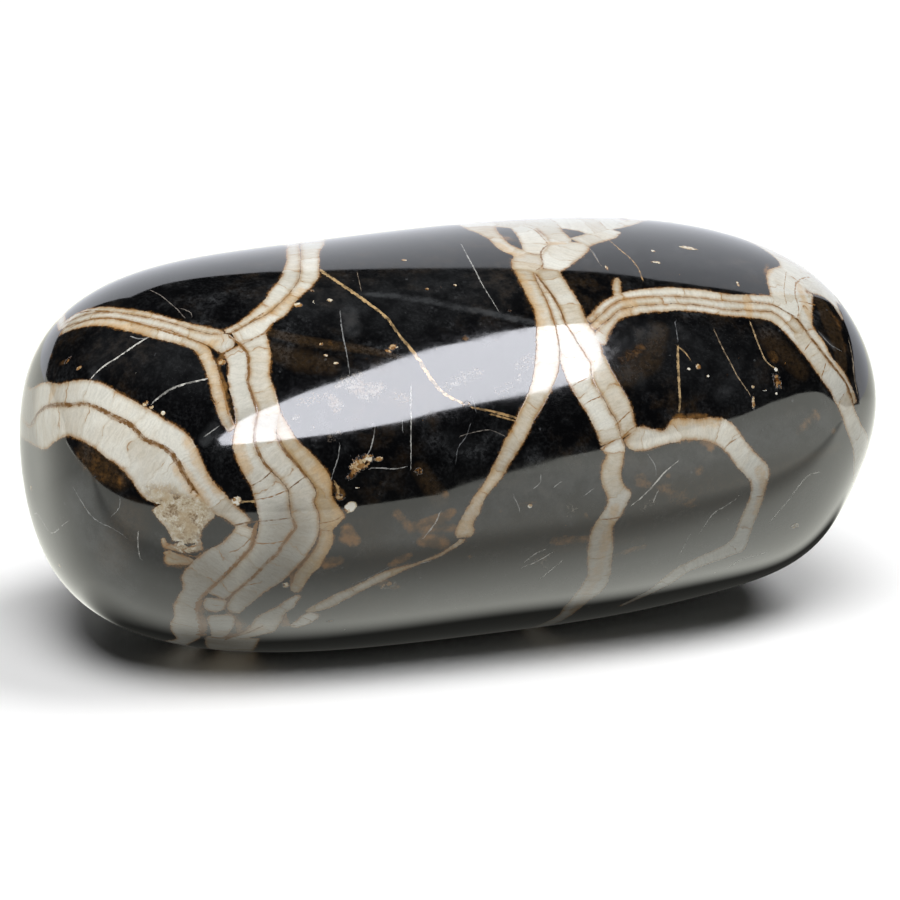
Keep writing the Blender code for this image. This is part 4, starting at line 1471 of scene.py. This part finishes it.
class JasperLook(bpy.types.PropertyGroup):
    black: FloatVectorProperty(
        name="Ground", description="Colour of the black ground", subtype="COLOR", default=linear(5, 5, 6)
    )
    brown: FloatVectorProperty(
        name="Brown clouds", description="Colour of the brown clouds in the ground",
        subtype="COLOR", default=linear(50, 38, 24),
    )
    grey: FloatVectorProperty(
        name="Grey wisps", description="Colour of the grey wisps in the ground",
        subtype="COLOR", default=linear(86, 88, 90),
    )
    cream: FloatVectorProperty(
        name="Cream", description="Colour of the whitest vein crystal",
        subtype="COLOR", default=linear(201, 199, 189),
    )
    tan: FloatVectorProperty(
        name="Tan", description="Colour of the tan vein crystal",
        subtype="COLOR", default=linear(164, 144, 112),
    )
    rust: FloatVectorProperty(
        name="Rust", description="Colour of the rust along seams and edges",
        subtype="COLOR", default=linear(142, 100, 50),
    )
    seam: FloatVectorProperty(
        name="Seam", description="Colour of the dark seams", subtype="COLOR", default=linear(80, 54, 28)
    )
    roughness: FloatProperty(
        name="Polish roughness", description="Roughness of the tumbled polish", default=0.06
    )
    refraction: FloatProperty(
        name="Refractive index", description="Refractive index of the polished surface", default=1.56
    )
    crack_spacing: FloatProperty(
        name="Crack spacing", description="Usual distance between the cracks across a vein, in millimetres",
        default=2.0,
    )
    relief: FloatProperty(
        name="Druse relief", description="Height of the druse's grains, in metres of the bump",
        default=0.00003, precision=6,
    )


class JasperStage(bpy.types.PropertyGroup):
    floor_colour: FloatVectorProperty(
        name="Floor", description="Colour of the plain floor", subtype="COLOR", default=(0.93, 0.93, 0.93)
    )
    key_power: FloatProperty(
        name="Key light", description="Strength of the three soft lights overhead", default=1.0
    )
    fill_power: FloatProperty(
        name="Fill light", description="Strength of the low light from the left", default=2.0
    )
    softbox_glow: FloatProperty(
        name="Softbox", description="Brightness of the softbox's mirror image", default=13.2
    )
    curtain_glow: FloatProperty(name="Curtain", description="Brightness of the curtain behind", default=1.2)
    table_glow: FloatProperty(
        name="Table", description="Brightness of the table's mirror image", default=2.0
    )
    room_glow: FloatProperty(name="Room", description="Brightness of the dark room around", default=0.03)


# ----------------------------------------
# Operators


def new_object(context, name, data):
    """An object in the scene's own collection."""
    made = bpy.data.objects.new(name, data)
    context.scene.collection.objects.link(made)
    return made


def the_stone():
    stone = bpy.data.objects.get(STONE_NAME)
    if stone is None:
        raise RuntimeError("make the stone first")
    return stone


class JASPER_OT_make_stone(bpy.types.Operator):
    """Make the blunt oval stone on a fine grid, standing on its worn flat"""

    bl_idname = "jasper.make_stone"
    bl_label = "Make stone"

    def execute(self, context):
        shape = context.scene.jasper_shape
        cells = (shape.cells_along, shape.cells_across, shape.cells_across)
        nodes, faces = box_grid(cells)
        halves = [shape.half_length, shape.half_depth, shape.half_height]
        points = stone_surface(grid_directions(nodes, cells, halves), shape)
        mesh = bpy.data.meshes.new(STONE_NAME)
        mesh.from_pydata(points.tolist(), [], faces.tolist())
        mesh.shade_smooth()
        stone = new_object(context, STONE_NAME, mesh)
        context.view_layer.update()
        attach(stone, "root")
        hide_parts("tumbled_stone")
        return {"FINISHED"}


LANE_SPACING = 40.0  # millimetres added from lane to lane, so that no two have the same crystals


class JASPER_OT_lay_veins(bpy.types.Operator):
    """Lay the banded veins on the stone, lane by lane"""

    bl_idname = "jasper.lay_veins"
    bl_label = "Lay veins"

    def execute(self, context):
        mesh = the_stone().data
        skin = Skin(mesh)
        marks = []
        for number, (tan, stations) in enumerate(LANES):
            near, values = lay_lane(skin, stations)
            values[:, 2] += LANE_SPACING * number
            marks.append((near, values, tan))
        store_layers(mesh, "lane", marks, (-2, -2, 0, 0))
        return {"FINISHED"}


class JASPER_OT_lay_threads(bpy.types.Operator):
    """Lay the thin threads, ribbons and cracks on the stone"""

    bl_idname = "jasper.lay_threads"
    bl_label = "Lay threads and cracks"

    def execute(self, context):
        mesh = the_stone().data
        skin = Skin(mesh)
        marks = []
        for darkness, half_widths, row in THREADS:
            marks.append((*lay_thread(skin, half_widths, row), darkness))
        store_layers(mesh, "thread", marks, (2, 0, 0, 0))
        return {"FINISHED"}


class JASPER_OT_set_crystals(bpy.types.Operator):
    """Set the small crystals, stains, veils and druse in the stone"""

    bl_idname = "jasper.set_crystals"
    bl_label = "Set crystals and stains"

    def execute(self, context):
        mesh = the_stone().data
        skin = Skin(mesh)
        marks = []
        for gold, half_length, half_width, turn, place in CRYSTALS:
            marks.append((*lay_crystal(skin, half_length, half_width, turn, place), gold))
        store_layers(mesh, "bead", marks, (9, 9, 0, 0))
        for name, patches in PATCHES.items():
            field = np.full(len(skin.points), -1.0)
            for strength, row in patches:
                field = np.maximum(field, soft_patch(skin, strength, row))
            attribute = point_attribute(mesh, name, "FLOAT")
            attribute.data.foreach_set("value", np.ascontiguousarray(field, np.float32))
        return {"FINISHED"}


def layered_attributes(tree, mesh, kind):
    """The three values and the fourth of each layer of one kind of mark."""
    for number in range(mesh[f"{kind}_layers"]):
        node = add_node(tree, "Attribute", attribute_name=f"{kind}_{number}").node
        yield node.outputs["Vector"], node.outputs["Alpha"]


class JASPER_OT_finish_stone(bpy.types.Operator):
    """Give the stone its polished mineral finish"""

    bl_idname = "jasper.finish_stone"
    bl_label = "Finish stone"

    def execute(self, context):
        mesh = the_stone().data
        look = context.scene.jasper_look
        tree = new_material(mesh, "polished_jasper")
        object_place = add_node(tree, "TexCoord", output="Object")
        place = add_node(tree, "VectorMath", (object_place, (1 / MM,) * 3), operation="MULTIPLY")
        shared = {"Place": place, "Crack spacing": look.crack_spacing}
        for name in ("black", "brown", "grey", "cream", "tan", "rust", "seam"):
            shared[name.capitalize()] = opaque(getattr(look, name))
        for name in PATCHES:
            field = add_node(tree, "Attribute", output="Fac", attribute_name=name)
            shared[name.replace("_", " ").capitalize()] = field

        slow = noise_value(place, 1.5, 2.0)
        quick = noise_value(place, 5.5, 3.0, 0.6)
        wander = times(math_node("SUBTRACT", slow, 0.5), 0.14)
        wander = uneven(wander, quick, 0.09)
        depth = add_node(tree, "Value")
        depth.default_value = -2.0
        spot = add_node(tree, "CombineXYZ", (0.0, 0.0, 0.0))
        top_lane = {"Depth": depth, "Next depth": depth, "Spot": spot}
        step = lane_step_group()
        for vector, tan in layered_attributes(tree, mesh, "lane"):
            mark = {"Lane": vector, "Lane tan": tan, "Wander": wander}
            top_lane = use_group(tree, step, {**top_lane, **mark})

        ground = use_group(tree, ground_group(), shared)["Colour"]
        fill = use_group(tree, crystal_fill_group(), {**shared, **top_lane})
        colour = blend_colour(fill["Bleed"], ground, fill["Bleed colour"])
        colour = blend_colour(fill["Mask"], colour, fill["Colour"])
        shared.update({"Mask": fill["Mask"], "Under": fill["Mask"]})
        druse = use_group(tree, druse_group(), {**shared, "Colour": colour, "Rust": opaque(look.tan)})
        colour, height = druse["Colour"], druse["Height"]
        thread = thread_group()
        for vector, darkness in layered_attributes(tree, mesh, "thread"):
            mark = {"Thread": vector, "Darkness": darkness, "Colour": colour}
            colour = use_group(tree, thread, {**shared, **mark})["Colour"]
        bead = bead_group()
        for vector, gold in layered_attributes(tree, mesh, "bead"):
            mark = {"Bead": vector, "Gold": gold, "Colour": colour, "Height": height}
            done = use_group(tree, bead, {**shared, **mark})
            colour, height = done["Colour"], done["Height"]

        scuff = noise_value(place, 2.4, 4.0, 0.6)
        roughness = step_between(scuff, 0.35, 0.75, look.roughness * 0.8, look.roughness * 1.5)
        roughness = math_node("MULTIPLY_ADD", druse["Height"], 0.22, roughness)
        relief = math_node("MULTIPLY_ADD", fill["Groove"], -0.25, height)
        bump = add_node(tree, "Bump", {"Strength": 0.5, "Distance": look.relief, "Height": relief})
        sockets = {"Base Color": colour, "Roughness": roughness, "Normal": bump}
        sockets.update({"IOR": look.refraction, "Metallic": 0.0})
        show_shader(tree, add_node(tree, "BsdfPrincipled", sockets))
        return {"FINISHED"}


# ----------------------------------------
# Stage. Lengths are in millimetres, and colours are scene light.

SOFTBOX_DISTANCE = 260
CURTAIN_DISTANCE = 320
TABLE_REACH = 150  # how far from the stone the table's edge lies where a mirrored line never comes down
TABLE_SIGHT = 1000  # how far along a mirrored line its heading is taken
TABLE_RIM = 0.02  # the table's front stands this much above its edge
SHADE_HEIGHT = 16  # height of the dark room above the table's edge
SOFTBOX_COLOUR = (0.955, 0.97, 1.04)
CURTAIN_COLOUR = (0.95, 0.98, 1.05)
TABLE_COLOUR = (0.99, 1.0, 0.91)
WHITE = (1.0, 1.0, 1.0)
DIM_ROOM = ((0.9, 0.95, 1.0, 1.0), 0.012)  # colour and strength of the room all around
FLOOR_HALF_SIZE = 900
BOUNCE = 0.04  # glow of the floor as soft light bounced off the stone meets it
# The floor's own shine as a share of the table's, with painted light and shade in it. Its painted shadow at
# the stone's foot is an oval: one over its half length and half depth, and the shift of its middle times
# the first. Each step is where it begins and ends, in metres or in squares of the oval's radius, and the
# shares there.
FOOT_SHADOW_SCALES = (38.5, 117.6)
FOOT_SHADOW_SHIFT = -0.154
FOOT_SHADOW_RIM = (0.85, 1.39, 0.03, 1.0)
LENGTHWISE = (-0.025, 0.06, 0.68, 1.0)
BACKWARD = (-0.03, 0.03, 1.0, 0.5)
FORWARD_SLANT = 0.2  # how far forward a slanted line runs for each length along X
STRIPE_AT = 0.0195
STRIPE = (0.0, 0.006, 0.60, 1.0)
NEAR_EDGE = (-0.017, -0.011)
NEAR_LIFT = (-0.018, -0.004, 0.0, 0.3)
# Soft lights: their turn from the view, elevation and spread in degrees, and share of their power.
OVERHEAD_LIGHTS = (
    ("front_light", 0, 64.5, 36.0, 2.40),
    ("left_light", -90, 70.0, 30.0, 0.24),
    ("right_light", 90, 60.0, 30.0, 1.55),
)
FILL_LIGHT = ("fill_light", -46, 8.0, 20.0, 1.0)


def mirror_point(skin, place, distance):
    """The point that a place of the view mirrors, at a distance from the stone."""
    x, y = place
    around = [skin.hit((x + dx, y + dy)) for dx, dy in ((0, 0), (3, 0), (-3, 0), (0, 3), (0, -3))]
    outward = sum((found[1] for found in around), Vector()).normalized()
    point = around[0][0]
    sight = (point - skin.eye).normalized()
    return point + (sight - outward * (2 * sight.dot(outward))) * distance


def strip_mesh(name, rows):
    """A strip of four-cornered faces between two edges, given as pairs of points in millimetres."""
    points = np.array([[tuple(point) for point in row] for row in rows]) * MM
    count, width = points.shape[:2]
    index = np.arange(count * width).reshape(count, width)
    faces = np.stack([index[:-1, :-1], index[1:, :-1], index[1:, 1:], index[:-1, 1:]], -1).reshape(-1, 4)
    mesh = bpy.data.meshes.new(name)
    mesh.from_pydata(points.reshape(-1, 3).tolist(), [], faces.tolist())
    return mesh


def glow_card(context, name, rows, colour, brightness):
    """A card that only mirrors see, glowing evenly."""
    card = new_object(context, name, strip_mesh(name, rows))
    card.visible_camera = False
    card.visible_diffuse = False
    card.visible_shadow = False
    card.visible_transmission = False
    tree = new_material(card.data, name)
    show_shader(tree, add_node(tree, "Emission", (opaque(colour), brightness)))


def broad_light(context, name, turn, elevation, spread, power):
    """A soft light from one direction, spread over an angle, that mirrors don't see."""
    data = bpy.data.lights.new(name, "SUN")
    data.angle = math.radians(spread)
    data.energy = power
    light = new_object(context, name, data)
    light.rotation_euler = direction(VIEW_AZIMUTH + turn, elevation).to_track_quat("Z", "Y").to_euler()
    light.visible_glossy = False
    return light


class JASPER_OT_set_stage(bpy.types.Operator):
    """Set the floor, the cards, the lights, the world and the camera"""

    bl_idname = "jasper.set_stage"
    bl_label = "Set stage"

    def execute(self, context):
        stage = context.scene.jasper_stage
        skin = Skin(the_stone().data)
        self.floor(context, stage)
        softbox = []
        for row in SOFTBOX_IMAGE:
            softbox.append([mirror_point(skin, place, SOFTBOX_DISTANCE) for place in places(row)])
        glow_card(context, "softbox_card", softbox, SOFTBOX_COLOUR, stage.softbox_glow)
        self.curtain(context, stage, skin)
        self.table(context, stage, skin)
        for name, turn, elevation, spread, share in OVERHEAD_LIGHTS:
            broad_light(context, name, turn, elevation, spread, share * stage.key_power)
        name, turn, elevation, spread, share = FILL_LIGHT
        fill = broad_light(context, name, turn, elevation, spread, share * stage.fill_power)
        lit = bpy.data.collections.new("fill_lit")
        lit.objects.link(the_stone())
        fill.light_linking.receiver_collection = lit
        self.world(context.scene)
        self.camera(context)
        context.scene.view_settings.view_transform = "Standard"
        return {"FINISHED"}

    def curtain(self, context, stage, skin):
        """The curtain behind, from the line where its top is mirrored down to the floor or its hem."""
        hem = mirror_point(skin, CURTAIN_HEM, CURTAIN_DISTANCE)
        rows = []
        for place in places(CURTAIN_IMAGE):
            upper = mirror_point(skin, place, CURTAIN_DISTANCE)
            foot = hem if CURTAIN_HEM_FROM < place[0] < CURTAIN_HEM[0] else upper
            rows.append((upper, (foot.x, foot.y, 0)))
        glow_card(context, "curtain_card", rows, CURTAIN_COLOUR, stage.curtain_glow)

    def table(self, context, stage, skin):
        """The table's front edge, with its face below and the dark room above, where they are mirrored."""
        front = []
        shade = []
        for place in places(TABLE_EDGE_IMAGE):
            point = skin.hit(place)[0]
            heading = (mirror_point(skin, place, TABLE_SIGHT) - point) / TABLE_SIGHT
            fall = point.z / -heading.z if heading.z < 0 else TABLE_REACH
            x, y, z = point + heading * min(fall, TABLE_REACH)
            front.append(((x, y, max(z, 0) + TABLE_RIM), (x, y, 0)))
            shade.append(((x, y, z + SHADE_HEIGHT), (x, y, max(z, 0))))
        glow_card(context, "table_front", front, TABLE_COLOUR, stage.table_glow)
        glow_card(context, "room_shade", shade, WHITE, stage.room_glow)

    def floor(self, context, stage):
        """A matt floor whose own even shine only the polish mirrors.

        The shine holds painted light and shade: a painted shadow, dark in an oval at the stone's foot; it
        is dimmer to the left, behind, and along a stripe just in front of the stone, and brighter nearest
        the view.
        """
        far = FLOOR_HALF_SIZE
        mesh = strip_mesh("floor", [((-far, -far, 0), (-far, far, 0)), ((far, -far, 0), (far, far, 0))])
        floor = new_object(context, "floor", mesh)
        tree = new_material(mesh, "plain_floor")
        matt = {"Base Color": opaque(stage.floor_colour), "Roughness": 0.9, "Specular IOR Level": 0.0}
        surface = add_node(tree, "BsdfPrincipled", matt)
        x, y, _ = parts_of(add_node(tree, "TexCoord", output="Object"))
        # painted shadow in the mirrored shine: dark in an oval at the stone's foot
        along = math_node("ABSOLUTE", math_node("MULTIPLY_ADD", x, FOOT_SHADOW_SCALES[0], FOOT_SHADOW_SHIFT))
        across = math_node("ABSOLUTE", times(y, FOOT_SHADOW_SCALES[1]))
        squares = [math_node("POWER", share, 2.0) for share in (along, across)]
        outside_foot_shadow = step_between(math_node("ADD", *squares), *FOOT_SHADOW_RIM)
        lengthwise = add_node(tree, "MapRange", (x, *LENGTHWISE))
        backward = add_node(tree, "MapRange", (y, *BACKWARD))
        shine = math_node("MINIMUM", lengthwise, backward)
        slanted = math_node("MULTIPLY_ADD", x, FORWARD_SLANT, y)
        stripe = math_node("ABSOLUTE", math_node("ADD", slanted, STRIPE_AT))
        shine = times(shine, step_between(stripe, *STRIPE))
        near = step_between(slanted, *NEAR_EDGE)
        near = times(near, step_between(x, *NEAR_LIFT))
        shine = math_node("MULTIPLY_ADD", shine, near, shine)
        strength = times(times(outside_foot_shadow, shine), stage.table_glow)
        mirrored = add_node(tree, "Emission", (opaque(TABLE_COLOUR), strength))
        bounced = add_node(tree, "Emission", (opaque(WHITE), BOUNCE))
        ray = add_node(tree, "LightPath").node.outputs
        mixed = add_node(tree, "MixShader", (ray["Is Glossy Ray"], surface, mirrored))
        show_shader(tree, add_node(tree, "MixShader", (ray["Is Diffuse Ray"], mixed, bounced)))
        floor.visible_shadow = False

    def world(self, scene):
        """White where the view sees it, and a nearly dark room for everything else."""
        scene.world = bpy.data.worlds.new("studio")
        scene.world.use_nodes = True
        tree = scene.world.node_tree
        tree.nodes.clear()
        seen = add_node(tree, "Background", (opaque(WHITE), 1.0))
        room = add_node(tree, "Background", DIM_ROOM)
        ray = add_node(tree, "LightPath", output="Is Camera Ray")
        show_shader(tree, add_node(tree, "MixShader", (ray, room, seen)), "World")

    def camera(self, context):
        data = bpy.data.cameras.new("view")
        data.lens = VIEW_LENS
        data.sensor_width = VIEW_SENSOR
        data.clip_start = 0.01
        camera = new_object(context, "view", data)
        backward = view_axes()[2]
        camera.location = VIEW_TARGET + backward * VIEW_DISTANCE
        camera.rotation_euler = (-backward).to_track_quat("-Z", "Y").to_euler()
        context.scene.camera = camera


class JASPER_PT_panel(bpy.types.Panel):
    bl_label = "Jasper"
    bl_idname = "JASPER_PT_panel"
    bl_space_type = "VIEW_3D"
    bl_region_type = "UI"
    bl_category = "Jasper"

    def draw(self, context):
        layout = self.layout
        for operator in OPERATORS:
            layout.operator(operator.bl_idname)
        for values in (context.scene.jasper_shape, context.scene.jasper_look, context.scene.jasper_stage):
            box = layout.box()
            for name in values.__annotations__:
                box.prop(values, name)


OPERATORS = (
    JASPER_OT_make_stone,
    JASPER_OT_lay_veins,
    JASPER_OT_lay_threads,
    JASPER_OT_set_crystals,
    JASPER_OT_finish_stone,
    JASPER_OT_set_stage,
)
CLASSES = (JasperShape, JasperLook, JasperStage) + OPERATORS + (JASPER_PT_panel,)


def register():
    for cls in CLASSES:
        bpy.utils.register_class(cls)
    bpy.types.Scene.jasper_shape = PointerProperty(type=JasperShape)
    bpy.types.Scene.jasper_look = PointerProperty(type=JasperLook)
    bpy.types.Scene.jasper_stage = PointerProperty(type=JasperStage)


def unregister():
    del bpy.types.Scene.jasper_stage
    del bpy.types.Scene.jasper_look
    del bpy.types.Scene.jasper_shape
    for cls in reversed(CLASSES):
        bpy.utils.unregister_class(cls)


def main():
    register()
    bpy.ops.jasper.make_stone()
    bpy.ops.jasper.lay_veins()
    bpy.ops.jasper.lay_threads()
    bpy.ops.jasper.set_crystals()
    bpy.ops.jasper.finish_stone()
    bpy.ops.jasper.set_stage()


if __name__ == "__main__":
    main()
